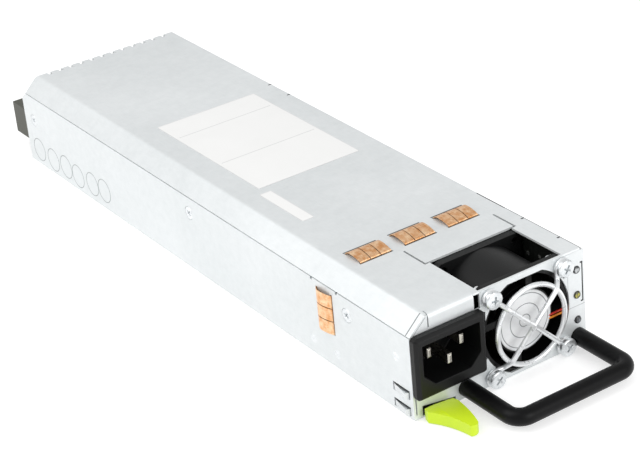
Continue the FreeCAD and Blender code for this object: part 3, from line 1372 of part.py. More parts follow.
def fan_guard():
    eye = D.eye_radius
    near = SCREW_OFFSET - eye * math.sqrt(0.5)
    flat_end = SCREW_OFFSET - D.eye_exit * math.sqrt(0.5)
    reach = D.cross_reach
    beside = SCREW_OFFSET - eye
    past = SCREW_OFFSET - D.leg_drop
    straight = rounded_path(guard_points(
        (-near, D.wire, near), (-flat_end, D.wire, flat_end), (-reach, D.cross_out, reach),
        (reach, D.cross_out, -reach), (flat_end, D.wire, -flat_end), (near, D.wire, -near)), D.wire_bend)
    bent = rounded_path(guard_points(
        (-SCREW_OFFSET, D.wire, -beside), (-past, D.wire, -beside), (-reach, D.cross_out, -reach),
        (reach, D.cross_out, reach), (beside, D.wire, past), (beside, D.wire, SCREW_OFFSET)), D.wire_bend)
    wires = []
    for name, path in (("guard_straight", straight), ("guard_bent", bent)):
        wire = DOC.addObject("Part::Feature", name)
        wire.Shape = tube_along(path, D.wire)
        wires.append(wire)
    ring = primitive("Torus", "guard_ring", (FAN_X, FRONT - D.ring_out, FAN_Z), "Y",
                     Radius1=D.guard_ring, Radius2=D.wire)
    eyes = [primitive("Torus", "guard_eye_%d" % number, (x, EYE_OUT, z), "Y", Radius1=eye, Radius2=D.wire)
            for number, (x, z) in enumerate(FAN_SCREWS, 1)]
    keep(joined("fan_guard", ring, *wires, *eyes))


def fan_screws():
    screws = []
    for number, (x, z) in enumerate(FAN_SCREWS, 1):
        under = 2 * D.wire
        top = D.fan_screw_rise
        edge = D.fan_screw_round
        screws.append(turned(
            "fan_screw_%d" % number, (x, FRONT - under, z), "-Y",
            (0, -under - D.fan_screw_length), (D.fan_screw, -under - D.fan_screw_length), (D.fan_screw, 0),
            (D.fan_screw_head, 0), (D.fan_screw_head, top - edge, edge),
            (D.fan_screw_head - edge, top), (0, top)))
    group("fan_screws", screws)


# ---------------------------------------------------------------------------------------------------
# Handle
# ---------------------------------------------------------------------------------------------------

def handle():
    body = new_body("handle")
    bend = D.handle_bend
    front = FRONT - D.handle_reach
    spine = Profile(body, "XY", HANDLE_Z).outline(
        (HANDLE_LEFT, FRONT), (HANDLE_LEFT, front + bend, bend), (HANDLE_LEFT + bend, front),
        (HANDLE_RIGHT - bend, front, bend), (HANDLE_RIGHT, front + bend), (HANDLE_RIGHT, FRONT), closed=False)
    bar = Profile(body, "XZ", FRONT).circle(HANDLE_LEFT, HANDLE_Z, D.handle_radius)
    pipe = body.newObject("PartDesign::AdditivePipe", "handle_bar")
    pipe.Profile = bar.sketch
    pipe.Spine = spine.sketch
    body.Tip = pipe
    DOC.recompute()
    ends = [(HANDLE_LEFT, HANDLE_Z), (HANDLE_RIGHT, HANDLE_Z)]
    necks = Profile(body, "XZ", FRONT)
    upsets = Profile(body, "XZ", FAN_FRONT)
    for x, z in ends:
        necks.circle(x, z, D.neck_radius)
        upsets.circle(x, z, D.upset_radius)
    necks.pad(D.sheet + D.upset_height / 2)
    upsets.pad(D.upset_height)
    keep(body)


# ---------------------------------------------------------------------------------------------------
# Release latch
# ---------------------------------------------------------------------------------------------------

def latch_spring():
    body = new_body("latch_spring")
    half = (LATCH_HIGH - LATCH_LOW) / 2 - D.leaf_short
    Profile(body, "YZ", LEFT_INSIDE).rounded(
        HINGE_Y - D.leaf_lap, LEAF_Z - half, FRONT + D.leaf_end, LEAF_Z + half, D.leaf_round).pad(D.leaf)
    holes = Profile(body, "YZ", LEFT_INSIDE - MARGIN)
    for y, z in LATCH_RIVETS:
        holes.circle(y, z, D.rivet_shank)
    holes.pocket(D.leaf + 2 * MARGIN)
    keep(body)


def foot_outline(profile, back):
    """The foot in plan, from the given rear edge to its narrow front end."""
    middle = LEFT + (D.tab_tip_left + D.tab_tip_right) / 2
    narrow = D.foot_narrow / 2
    front = FRONT - D.foot_out
    step = FRONT - D.tab_gap
    return profile.outline(
        (LEFT + D.foot_left, back), (LEFT + D.foot_left, step), (middle - narrow, front),
        (middle + narrow, front), (LEFT + D.foot_right, step), (LEFT + D.foot_right, back))


def latch_plate():
    body = new_body("latch_plate")
    front = FRONT + D.plate_front
    Profile(body, "YZ", PLATE_X).rectangle(front, LATCH_LOW, HINGE_Y, LATCH_HIGH).pad(D.plate)
    Profile(body, "XY", FOOT_Z).rectangle(
        PLATE_X, front, LEFT + D.foot_right, FRONT + D.foot_back).pad(D.plate)
    foot_outline(Profile(body, "XY", FOOT_Z), front + D.plate / 2).pad(D.plate)
    locking = FRONT + D.tooth_front
    for low in (UPPER_TOOTH, LOWER_TOOTH):
        Profile(body, "XY", low).outline(
            (PLATE_X + D.plate / 2, locking), (PLATE_X + D.plate / 2, locking + D.tooth_length),
            (LEFT, locking + D.tooth_length), (LEFT - D.tooth_out, locking + D.tooth_lead),
            (LEFT, locking)).pad(D.tooth_height)
    keep(body)


def latch_tab():
    body = new_body("latch_tab")
    rear = FRONT - D.tab_gap
    tip = FRONT - D.tab_reach
    shoulder = D.tab_shoulder
    Profile(body, "XY", D.tab_base).outline(
        (LEFT + D.tab_left + shoulder / 4, rear), (LEFT + D.tab_left, rear - shoulder, D.tab_scoop, -1),
        (LEFT + D.tab_tip_left, tip + shoulder / 2, D.tab_tip),
        (LEFT + D.tab_tip_right, tip + shoulder, D.tab_swell),
        (LEFT + D.tab_right, rear - shoulder), (LEFT + D.tab_right - shoulder / 4, rear)).pad(
        D.tab_top - D.tab_base)
    dress(body, "Fillet", D.tab_under, lying(D.tab_base))
    low = FOOT_Z + D.tab_back_top - D.plate
    above = D.tab_top + MARGIN
    Profile(body, "XZ", tip - MARGIN).outline(
        (LEFT + D.tab_tip_left - D.tab_round, above), (LEFT + D.tab_tip_left - D.tab_round, D.tab_top),
        (LEFT + D.tab_right + MARGIN, low), (LEFT + D.tab_right + MARGIN, above)).pocket(
        D.tab_reach + MARGIN)
    foot_outline(Profile(body, "XY", FOOT_Z), FRONT).pocket(D.plate)
    keep(body)


# ---------------------------------------------------------------------------------------------------
# Lamps
# ---------------------------------------------------------------------------------------------------

def lamps():
    for label, z in zip(LAMP_LABELS, LAMPS):
        body = new_body(label, (LAMP_X, FRONT, z))
        lens = Profile(body, "XZ", -D.lamp_proud).circle(0, 0, D.lamp_radius)
        lens.pad(D.lamp_proud + D.lamp_depth)
        dress(body, "Fillet", D.lamp_round, round_edge(y=-D.lamp_proud))
        Profile(body, "XZ", D.sheet + D.lamp_proud).rectangle(
            -D.lamp_reach, -D.lamp_base, D.lamp_base, D.lamp_base).pad(D.lamp_depth - D.lamp_proud)
        keep(body)

    body = new_body("led_board")
    front = FRONT + D.lamp_board_front
    foot = BOARD_FRONT + D.lamp_board_foot
    under = D.lamp_low - D.lamp_board_under
    top = D.case_height - D.lamp_board_down
    Profile(body, "YZ", LAMP_BOARD_X).outline(
        (front, under), (BOARD_FRONT, under), (BOARD_FRONT, BOARD_TOP),
        (foot, BOARD_TOP), (foot, top), (front, top)).pad(D.lamp_board)
    keep(body)


# ---------------------------------------------------------------------------------------------------
# Main board
# ---------------------------------------------------------------------------------------------------

def main_board():
    body = new_body("main_board")
    Profile(body, "XY", BOARD_UNDER).rectangle(BOARD_LEFT, BOARD_FRONT, BOARD_RIGHT, BOARD_BACK).pad(
        D.main_board)
    holes = Profile(body, "XY", BOARD_UNDER - MARGIN)
    for x, y in STANDS:
        holes.circle(x, y, D.stand_hole + D.slip)
    holes.pocket(D.main_board + 2 * MARGIN)
    keep(body)

    stands = []
    screws = []
    for number, (x, y) in enumerate(STANDS, 1):
        stands.append(turned(
            "board_standoff_%d" % number, (x, y, D.sheet), "+Z",
            (D.stand_hole, 0), (D.stand_radius, 0), (D.stand_radius, D.stand_height),
            (D.stand_hole, D.stand_height)))
        deep = -D.board_screw_length
        screws.append(turned(
            "board_screw_%d" % number, (x, y, BOARD_TOP), "+Z",
            (0, deep), (D.stand_hole, deep), (D.stand_hole, 0), (D.board_screw_head, 0),
            (D.board_screw_head, D.board_screw_rise), (0, D.board_screw_rise)))
    group("board_standoffs", stands)
    group("board_screws", screws)

    film = new_body("insulating_sheet")
    edge = D.bend - D.sheet + D.film_edge
    Profile(film, "XY", D.sheet).rectangle(
        LEFT_INSIDE + edge, BOARD_FRONT - edge, RIGHT_INSIDE - edge, BACK - D.sheet - edge).pad(D.film)
    holes = Profile(film, "XY", D.sheet - MARGIN)
    for x, y in STANDS:
        holes.circle(x, y, D.film_hole)
    holes.pocket(D.film + 2 * MARGIN)
    keep(film)


# ---------------------------------------------------------------------------------------------------
# Parts on the main board
# ---------------------------------------------------------------------------------------------------

ROOM = UNDER_TOP - BOARD_TOP
LEFT_COLUMN = LEFT + D.left_column
REAR_LEFT = LEFT + D.rear_left
FUSE_Y = BOARD_FRONT + D.fuse_back
XCAP_Y = FUSE_Y + D.fuse_radius + D.part_gap + D.xcap_length / 2
CHOKE_Y = XCAP_Y + D.xcap_length / 2 + D.part_gap + D.choke_radius
CAN_RADIUS = (ROOM - D.can_room) / 2
CAN_FRONT = CHOKE_Y + D.choke_radius + D.part_gap
CAN_RIGHT = LEFT_COLUMN + CAN_RADIUS
PRIMARY_FACE = RIGHT - D.primary_edge
SECONDARY_FACE = RIGHT - D.secondary_edge
BOOST_X = CAN_RIGHT + D.boost_gap + D.boost_radius
SINK_HEIGHT = ROOM - D.sink_room
PRIMARY_FRONT = BOARD_FRONT + D.sink_back
PRIMARY_BACK = PRIMARY_FRONT + D.primary_length
BOOST_Y = PRIMARY_BACK + D.part_gap + D.boost_radius
PLUG_FRONT = BACK - D.plug_inside
STAND_ROWS = (BOARD_FRONT + D.stand_back, BOOST_Y + D.stand_past, PLUG_FRONT - D.stand_ahead)
STAND_LEFT = BOARD_LEFT + D.stand_inset
STAND_RIGHT = BOARD_RIGHT - D.stand_inset
STAND_MIDDLE = BOOST_X + D.boost_radius + D.stand_aside
STANDS = [(STAND_LEFT, y) for y in STAND_ROWS]
STANDS += zip((STAND_RIGHT, STAND_MIDDLE, STAND_RIGHT), STAND_ROWS)
TUBE_Y = PLUG_FRONT - D.part_gap - D.tube_radius
CORE_BACK = TUBE_Y - D.tube_radius - D.part_gap - D.winding_out
CORE_FRONT = CORE_BACK - D.core_length
SECONDARY_BACK = CORE_BACK
SECONDARY_FRONT = SECONDARY_BACK - D.secondary_length


def fuse():
    radius = D.fuse_radius
    end = D.fuse_length
    cap = D.fuse_cap
    body = new_body("fuse", (LEFT_COLUMN - end / 2, FUSE_Y, BOARD_TOP + radius))
    Profile(body, "XZ").outline(
        (0, 0), (end, 0), (end, radius), (end - cap, radius), (end - cap, D.fuse_body),
        (cap, D.fuse_body), (cap, radius), (0, radius)).revolve("X")
    keep(body)


def rounded_block(label, x, y, width, length, height, radius):
    body = new_body(label, (x, y, BOARD_TOP))
    Profile(body, "XY").rounded(-width / 2, -length / 2, width / 2, length / 2, radius).pad(height)
    dress(body, "Fillet", radius / 2, along("x", z=height))
    keep(body)


def coil(label, x, y, radius, bore, height):
    """A wound ring core lying on the board."""
    edge = D.coil_round
    keep(turned(
        label, (x, y, BOARD_TOP), "+Z",
        (bore, edge, edge), (bore + edge, 0), (radius - edge, 0, edge), (radius, edge),
        (radius, height - edge, edge), (radius - edge, height), (bore + edge, height, edge),
        (bore, height - edge)))


def bulk_capacitor():
    edge = D.can_round
    length = D.can_length
    crimp = D.can_crimp
    groove = D.can_groove
    keep(turned(
        "bulk_capacitor", (LEFT_COLUMN, CAN_FRONT, BOARD_TOP + CAN_RADIUS), "+Y",
        (0, 0), (CAN_RADIUS - edge, 0, edge), (CAN_RADIUS, edge), (CAN_RADIUS, crimp),
        (CAN_RADIUS - groove, crimp + groove), (CAN_RADIUS, crimp + 2 * groove),
        (CAN_RADIUS, length - edge, edge), (CAN_RADIUS - edge, length), (0, length)))


def heat_sink(label, left, back, front, length):
    """A finned extrusion along Y; its fins start at left and its flat back faces +X."""
    body = new_body(label, (back, front, BOARD_TOP))
    Profile(body, "XZ").rectangle(-D.sink_plate, 0, 0, SINK_HEIGHT).pad(length)
    fin = Profile(body, "XZ").rectangle(left - back, 0, -D.sink_plate, D.sink_fin).pad(length)
    row(fin, "Z", (SINK_HEIGHT - D.sink_fin) / (D.sink_fins - 1), D.sink_fins)
    keep(body)


def package(name, x, y, width, thick):
    """A flat power package on the back of a heat sink, with three legs down to the board."""
    body = new_body(name, (x, y, BOARD_TOP))
    Profile(body, "XY", D.chip_leg).rectangle(0, -width / 2, thick, width / 2).pad(D.chip_height)
    legs = Profile(body, "XY")
    leg = D.board_thick / 2
    for place in (-width / 3, 0 * width, width / 3):
        legs.rectangle(thick / 2 - leg, place - leg, thick / 2 + leg, place + leg)
    legs.pad(D.chip_leg + MARGIN)
    return body


def power_stage():
    heat_sink("primary_heat_sink", CAN_RIGHT + D.can_gap, PRIMARY_FACE, PRIMARY_FRONT, D.primary_length)
    core_right = REAR_LEFT + D.core_width / 2
    heat_sink("secondary_heat_sink", core_right + D.core_gap, SECONDARY_FACE, SECONDARY_FRONT,
              D.secondary_length)
    last = PRIMARY_BACK - D.chip_pitch / 2
    group("power_transistors", [
        package("power_transistor_%d" % number, PRIMARY_FACE, last - number * D.chip_pitch,
                D.chip_width, D.chip_thick)
        for number in range(2)])
    wider = (D.bridge_width - D.chip_width) / 2
    bridge = package("bridge_rectifier", PRIMARY_FACE, last - D.chip_pitch * 2 - wider,
                     D.bridge_width, D.bridge_thick)
    keep(bridge)
    last = SECONDARY_BACK - D.chip_pitch / 2
    group("output_rectifiers", [
        package("output_rectifier_%d" % number, SECONDARY_FACE, last - number * D.chip_pitch,
                D.chip_width, D.chip_thick)
        for number in range(3)])


def main_transformer():
    height = ROOM - D.core_room
    half = D.core_width / 2
    leg = D.core_leg
    yoke = D.core_yoke
    core = new_body("transformer_core", (REAR_LEFT, CORE_FRONT, BOARD_TOP))
    Profile(core, "XZ").rectangle(-half, 0, half, height).rectangle(
        leg - half, yoke, half - leg, height - yoke).pad(D.core_length)
    keep(core)
    winding = new_body("transformer_winding", (REAR_LEFT, CORE_FRONT - D.winding_out, BOARD_TOP))
    Profile(winding, "XZ").rectangle(leg - half, yoke, half - leg, height - yoke).pad(
        D.core_length + 2 * D.winding_out)
    keep(winding)


def output_capacitors():
    edge = D.tube_round
    radius = D.tube_radius
    height = D.tube_height
    tubes = []
    for number in range(int(D.tube_count.value)):
        x = (number - (D.tube_count - 1) / 2) * D.tube_pitch
        tubes.append(turned(
            "output_capacitor_%d" % (number + 1), (x, TUBE_Y, BOARD_TOP), "+Z",
            (0, 0), (radius, 0), (radius, height - edge, edge), (radius - edge, height), (0, height)))
    group("output_capacitors", tubes)


# ---------------------------------------------------------------------------------------------------
# Output connector
# ---------------------------------------------------------------------------------------------------

PLUG_BACK = BACK + D.plug_proud
PLUG_LEFT = PLUG_X - D.plug_width / 2
PLUG_RIGHT = PLUG_X + D.plug_width / 2
BAYS = [PLUG_LEFT + D.bay_first + number * D.bay_pitch for number in range(int(D.bay_count.value))]
SIGNAL_X = PLUG_RIGHT - D.signal_edge - D.signal_width / 2


def signal_places():
    for column in range(int(D.signal_columns.value)):
        for level in range(int(D.signal_rows.value)):
            yield (SIGNAL_X + (column - (D.signal_columns - 1) / 2) * D.signal_pitch,
                   PLUG_Z + (level - (D.signal_rows - 1) / 2) * D.signal_pitch)


def output_connector():
    body = new_body("output_connector")
    length = D.plug_inside + D.plug_proud
    Profile(body, "XZ", PLUG_FRONT).rectangle(
        PLUG_LEFT, BOARD_TOP, PLUG_RIGHT, BOARD_TOP + D.plug_height).pad(length)
    dress(body, "Chamfer", D.plug_edge, along("x", y=PLUG_BACK), along("z", y=PLUG_BACK))
    floor = PLUG_BACK - D.bay_depth
    bays = Profile(body, "XZ", floor)
    half = D.bay_width / 2
    for x in BAYS:
        bays.rectangle(x - half, PLUG_Z - D.bay_height / 2, x + half, PLUG_Z + D.bay_height / 2)
    bays.rectangle(SIGNAL_X - D.signal_width / 2, PLUG_Z - D.signal_height / 2,
                   SIGNAL_X + D.signal_width / 2, PLUG_Z + D.signal_height / 2)
    bays.pocket(D.bay_depth + MARGIN)
    slots = Profile(body, "XZ", PLUG_FRONT - MARGIN)
    contact_outlines(slots)
    slots.pocket(MARGIN + length - D.bay_depth + MARGIN)
    keep(body)


def contact_outlines(slots):
    thin = D.blade_thick / 2
    tall = D.bay_height / 2 - MARGIN
    for x in BAYS:
        slots.rectangle(x - thin, PLUG_Z - tall, x + thin, PLUG_Z + tall)
    pin = D.signal_pin / 2
    for x, z in signal_places():
        slots.rectangle(x - pin, z - pin, x + pin, z + pin)


def output_contacts():
    reach = D.plug_inside + D.plug_proud - D.blade_back
    thin = D.blade_thick
    tall = D.bay_height - 2 * MARGIN
    group("output_power_contacts", [
        block("output_contact_%d" % number, (x - thin / 2, PLUG_FRONT, PLUG_Z - tall / 2),
              (thin, reach, tall))
        for number, x in enumerate(BAYS, 1)])
    pin = D.signal_pin
    group("output_signal_pins", [
        block("signal_pin_%d" % number, (x - pin / 2, PLUG_FRONT, z - pin / 2),
              (pin, reach - D.blade_back, pin))
        for number, (x, z) in enumerate(signal_places(), 1)])


# ---------------------------------------------------------------------------------------------------
# Leads
# ---------------------------------------------------------------------------------------------------

SOCKET = (LEFT + D.socket_left, BOARD_FRONT + D.socket_back, BOARD_TOP)


def lead(label, points, radius, bend):
    """A wire along its route; its volume has to be its section times its length."""
    path = rounded_path(points, bend)
    shape = tube_along(path, radius)
    due = math.pi * as_size(radius).value ** 2 * path.Length
    if abs(shape.Volume / due - 1) > 0.01:
        raise RuntimeError("%s: volume %.3f, due %.3f" % (label, shape.Volume, due))
    print("%s: length %.1f" % (label, path.Length))
    free_shape(label, shape)


def fan_leads():
    x, y, z = SOCKET
    keep(block("fan_plug", (x - D.socket_width / 2, y - D.socket_length / 2, z),
               (D.socket_width, D.socket_length, D.socket_height)))
    top = z + D.socket_height
    beside = FAN_RIGHT + D.lead_aside
    behind = FAN_BACK + D.lead_behind
    front = FAN_FRONT + D.lead_front
    for label, side in (("fan_wire_red", 0.5), ("fan_wire_yellow", -0.5)):
        up = FAN_Z - D.strut_drop + side * D.lead_pitch
        across = x + side * D.lead_pitch
        lead(label, [
            (FAN_X + D.lead_start, FAN_FRONT + PLATE_BACK, up), (FAN_X + D.lead_start, front, up),
            (beside, front, up), (beside, behind, up),
            (across, y, top + D.lead_over), (across, y, top)], D.lead_radius, D.lead_bend)


def mains_leads():
    start = INLET_BACK + D.tab_length
    end = BOARD_FRONT + D.mains_back
    for number, (label, pin) in enumerate((
            ("inlet_line_wire", LINE_PIN),
            ("inlet_earth_wire", EARTH_PIN),
            ("inlet_neutral_wire", NEUTRAL_PIN))):
        x = INLET_X + pin[0]
        z = CAVITY_Z + pin[1]
        across = LEFT + D.mains_left + number * D.mains_pitch
        lead(label, [
            (x, start, z), (x, start + D.mains_rise, z), (across, end, BOARD_TOP + D.mains_rise),
            (across, end, BOARD_TOP)], D.mains_radius, D.mains_bend)


# ---------------------------------------------------------------------------------------------------
# Assembly
# ---------------------------------------------------------------------------------------------------

def build():
    chassis_tray()
    top_cover()
    cover_screws()
    rivets()
    spring_clips()
    inlet_housing()
    inlet_pins()
    fan_frame()
    fan_rotor()
    fan_motor()
    fan_guard()
    fan_screws()
    handle()
    latch_spring()
    latch_plate()
    latch_tab()
    lamps()
    main_board()
    fuse()
    rounded_block("x_capacitor", LEFT_COLUMN, XCAP_Y, D.xcap_width, D.xcap_length, D.xcap_height,
                  D.xcap_round)
    coil("emi_choke", LEFT_COLUMN, CHOKE_Y, D.choke_radius, D.choke_bore, D.choke_height)
    coil("pfc_choke", BOOST_X, BOOST_Y, D.boost_radius, D.boost_bore, D.boost_height)
    bulk_capacitor()
    power_stage()
    main_transformer()
    output_capacitors()
    output_connector()
    output_contacts()
    fan_leads()
    mains_leads()


def check():
    DOC.recompute()
    for thing in DOC.Objects:
        if "Invalid" in thing.State or "Error" in thing.State:
            raise RuntimeError("%s did not recompute: %s" % (thing.Label, thing.State))
    for node in NODES:
        if node.Shape.isNull() or not node.Shape.isValid() or not node.Shape.Solids:
            raise RuntimeError("%s has no valid solid" % node.Label)


def export():
    os.makedirs("parts", exist_ok=True)
    for node in NODES:
        node.Shape.exportStep(os.path.join("parts", node.Label + ".step"))
        print("%-24s %2d solids %9.1f mm3" % (node.Label, len(node.Shape.Solids), node.Shape.Volume))


build()
check()
export()
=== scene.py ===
"""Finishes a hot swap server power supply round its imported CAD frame.

Run as a script; every piece is made by an operator, and the panel lists them.
All lengths are metres, in the frame of the CAD model: +Y runs to the rear of the
case, -Y out of its face, +Z up from its base.
"""

import json
import math
from functools import partial

import bmesh
import bpy
from mathutils import Matrix, Vector


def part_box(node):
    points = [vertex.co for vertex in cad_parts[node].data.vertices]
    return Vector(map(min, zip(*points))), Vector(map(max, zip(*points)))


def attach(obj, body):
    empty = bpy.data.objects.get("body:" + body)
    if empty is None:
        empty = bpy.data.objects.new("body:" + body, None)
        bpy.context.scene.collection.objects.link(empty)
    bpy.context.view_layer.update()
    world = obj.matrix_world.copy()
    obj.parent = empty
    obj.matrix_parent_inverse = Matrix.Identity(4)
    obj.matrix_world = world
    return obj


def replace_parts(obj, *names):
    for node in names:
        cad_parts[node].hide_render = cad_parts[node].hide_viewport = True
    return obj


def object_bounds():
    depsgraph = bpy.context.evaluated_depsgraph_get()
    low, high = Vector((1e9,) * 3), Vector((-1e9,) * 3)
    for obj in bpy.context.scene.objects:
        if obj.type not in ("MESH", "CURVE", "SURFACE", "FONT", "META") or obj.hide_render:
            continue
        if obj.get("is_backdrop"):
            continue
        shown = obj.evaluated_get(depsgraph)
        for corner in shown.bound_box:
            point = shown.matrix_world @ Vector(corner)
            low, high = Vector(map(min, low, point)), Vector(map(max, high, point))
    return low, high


bl_info = {
    "name": "Hot swap power supply finish",
    "version": (1, 0, 0),
    "blender": (4, 5, 0),
    "location": "3D View > Sidebar > Supply",
    "description": "Materials and fine pieces for a hot swap server power supply",
    "category": "Object",
}

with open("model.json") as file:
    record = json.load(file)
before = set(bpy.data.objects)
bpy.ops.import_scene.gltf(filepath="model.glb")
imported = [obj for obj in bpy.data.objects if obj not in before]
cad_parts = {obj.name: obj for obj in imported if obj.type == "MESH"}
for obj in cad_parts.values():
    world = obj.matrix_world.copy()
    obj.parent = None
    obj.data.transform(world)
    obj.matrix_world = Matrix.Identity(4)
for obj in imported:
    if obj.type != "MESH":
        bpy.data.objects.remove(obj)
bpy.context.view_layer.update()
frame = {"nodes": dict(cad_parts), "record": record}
MM = 0.001
ROOT = "chassis"

TRAY_LOW, TRAY_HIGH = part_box("chassis_tray")
FACE_Y = TRAY_LOW.y
WALL_X = TRAY_LOW.x
EDGE_X = TRAY_HIGH.x
TOP_Z = TRAY_HIGH.z

# Mesh clean-up: vertices that count as one, edges that count as none, faces that count as flat.
WELD = 0.002 * MM
SLIVER = 0.0005 * MM
FLAT = math.radians(0.6)

# Sides of the turned meshes.
SCREW_STEPS = 48
DISC_STEPS = 96

# Grain directions: stretch of the noise along each axis.
ALONG_Y = (1.0, 0.2, 1.0)
ALONG_Y_LONG = (1.0, 0.15, 1.0)
ALONG_Z = (1.0, 1.0, 0.1)

# Soft edge of the painted seam shade and the printed lines drawn on the sheet metal.
MARK_SOFT = 0.12 * MM

# Printed rings of the left wall, as (Y, Z) in millimetres.
RING_CENTRES = ((135.05, 8.2), (122.15, 7.6), (110.25, 8.4), (99.45, 7.8), (86.45, 8.7), (75.85, 9.4))


def colour(code):
    """The linear colour of a six-figure hex code."""
    parts = [int(code[i:i + 2], 16) / 255 for i in (0, 2, 4)]
    return tuple(c / 12.92 if c < 0.04045 else ((c + 0.055) / 1.055) ** 2.4 for c in parts) + (1.0,)


def node_body(node):
    """The body that a CAD node rides on."""
    for body, members in frame["record"]["behaviour"]["bodies"].items():
        if node in members:
            return body
    raise RuntimeError("no body holds " + node)


class Term:
    """An output socket; arithmetic on it adds Math nodes."""

    def __init__(self, graph, socket):
        self.graph = graph
        self.socket = socket

    def _math(self, operation, *terms, **settings):
        settings["operation"] = operation
        return self.graph.node("ShaderNodeMath", settings, dict(enumerate(terms)))

    def __add__(self, other):
        return self._math("ADD", self, other)

    def __sub__(self, other):
        return self._math("SUBTRACT", self, other)

    def __rsub__(self, other):
        return self._math("SUBTRACT", other, self)

    def __mul__(self, other):
        return self._math("MULTIPLY", self, other)

    def __abs__(self):
        return self._math("ABSOLUTE", self)

    __radd__ = __add__
    __rmul__ = __mul__

    def ramp(self, low, high):
        """0 at low, 1 at high, clamped; high may be the smaller one."""
        return self._math("MULTIPLY", self - low, 1 / (high - low), use_clamp=True)

    def least(self, other):
        return self._math("MINIMUM", self, other)

    def most(self, other):
        return self._math("MAXIMUM", self, other)


class Graph:
    """A node tree and the one way in which nodes are added to it."""

    def __init__(self, tree):
        self.tree = tree

    def node(self, kind, settings=None, sockets=None, output=0):
        made = self.tree.nodes.new(kind)
        for name, value in (settings or {}).items():
            setattr(made, name, value)
        for name, value in (sockets or {}).items():
            if isinstance(value, Term):
                self.tree.links.new(value.socket, made.inputs[name])
            else:
                made.inputs[name].default_value = value
        return Term(self, made.outputs[output]) if made.outputs else None


class Finish(Graph):
    """A procedural material; it reads Object coordinates in metres."""

    def __init__(self, name):
        self.material = bpy.data.materials.new(name)
        self.material.use_nodes = True
        super().__init__(self.material.node_tree)
        self.tree.nodes.clear()
        self.place = self.node("ShaderNodeTexCoord", output="Object")

    def stretched(self, factors):
        """Object coordinates with each axis scaled by its factor."""
        return self.node("ShaderNodeVectorMath", {"operation": "MULTIPLY"}, {0: self.place, 1: factors})

    def noise(self, size, detail=3.0, factors=None, rough=0.55):
        """Noise whose spots are about size across."""
        where = self.stretched(factors) if factors else self.place
        return self.node("ShaderNodeTexNoise", None, {
            "Vector": where, "Scale": 1 / size, "Detail": detail, "Roughness": rough})

    def cells(self, size):
        """Distance to the middle of the nearest of cells that are about size across."""
        return self.node("ShaderNodeTexVoronoi", None, {"Vector": self.place, "Scale": 1 / size}, "Distance")

    def axis(self, name):
        """One object coordinate."""
        return self.node("ShaderNodeSeparateXYZ", None, {0: self.place}, name)

    def boxes(self, marks):
        """The darkest of several boxes: each (x, y, z, half x, half y, half z, depth of tone)."""
        x, y, z = self.axis("X"), self.axis("Y"), self.axis("Z")
        total = None
        for *middle, wide, along, tall, tone in marks:
            box = tone
            for place, at, half in zip((x, y, z), middle, (wide, along, tall)):
                box = abs(place - at).ramp(half + MARK_SOFT, half) * box
            total = box if total is None else total.most(box)
        return total

    def off_axis(self, centre):
        """Distance from a line along Y through (x, z)."""
        flat = self.node("ShaderNodeVectorMath", {"operation": "MULTIPLY_ADD"}, {
            0: self.place, 1: (1.0, 0.0, 1.0), 2: (-centre[0], 0.0, -centre[1])})
        return self.node("ShaderNodeVectorMath", {"operation": "LENGTH"}, {0: flat}, "Value")

    def mix(self, amount, first, second):
        """A colour between two, by amount."""
        return self.node("ShaderNodeMix", {"data_type": "RGBA"}, {0: amount, 6: first, 7: second}, 2)

    def bump(self, height, depth):
        """A normal from a height of 0 to 1 that stands for depth metres."""
        return self.node("ShaderNodeBump", None, {"Distance": depth, "Height": height})

    def surface(self, **values):
        """Closes the material with one Principled shader."""
        sockets = {name.replace("_", " "): value for name, value in values.items()}
        shader = self.node("ShaderNodeBsdfPrincipled", None, sockets, "BSDF")
        self.node("ShaderNodeOutputMaterial", None, {"Surface": shader})
        return self.material


def metal(name, pale, dark, roughness, grain, depth, factors=None, tarnish=30.0 * MM, bare=1.0):
    """Plated or bare metal with a fine directional grain and slow tonal drift."""
    made = Finish(name)
    fine = made.noise(grain, 4.0, factors)
    drift = made.noise(tarnish, 2.0)
    tone = (fine * 0.55 + drift * 0.6).ramp(0.3, 0.85)
    return made.surface(
        Base_Color=made.mix(tone, colour(dark), colour(pale)),
        Metallic=bare,
        Roughness=(fine - 0.5) * 0.22 + roughness,
        Normal=made.bump(fine, depth))


def moulded(name, pale, dark, roughness, grain, depth=0.02 * MM, coat=0.0, shine=0.5):
    """Moulded plastic, paint or sleeve with a fine spark-eroded grain."""
    made = Finish(name)
    fine = made.noise(grain, 3.0)
    drift = made.noise(12.0 * MM, 2.0)
    tone = (fine * 0.45 + drift * 0.7).ramp(0.25, 0.9)
    return made.surface(
        Base_Color=made.mix(tone, colour(dark), colour(pale)),
        Roughness=(drift - 0.5) * 0.16 + (fine - 0.5) * 0.14 + roughness,
        Specular_IOR_Level=shine,
        Coat_Weight=coat,
        Normal=made.bump(fine, depth))


def zinc_sheet(name, marks=()):
    """Rolled, zinc-plated sheet: satin, with faint streaks and rub marks; its marks mix in near-black, as
    painted shade at seams and slits and as print.
    """
    made = Finish(name)
    streaks = made.noise(0.7 * MM, 3.0, ALONG_Y)
    mottle = made.noise(3.5 * MM, 5.0)
    cloud = made.noise(50.0 * MM, 2.0)
    rub = made.noise(6.0 * MM, 3.0, (1.0, 0.25, 1.0), 0.7).ramp(0.66, 0.8)
    tone = (streaks * 0.2 + mottle * 0.35 + cloud * 0.5).ramp(0.36, 0.74)
    base = made.mix(rub * 0.2, made.mix(tone, colour("DFE3E4"), colour("EDF0F1")), colour("F6F8F8"))
    if marks:
        # Painted shade in open seams and slits, and printed lines, mixed toward near-black.
        base = made.mix(made.boxes(marks), base, colour("1B1D1E"))
    return made.surface(
        Base_Color=base,
        Metallic=0.55,
        Roughness=(streaks - 0.5) * 0.1 + (cloud - 0.5) * 0.08 + 0.5 - rub * 0.06,
        Normal=made.bump(streaks * 0.4 + mottle * 0.6, 0.006 * MM))


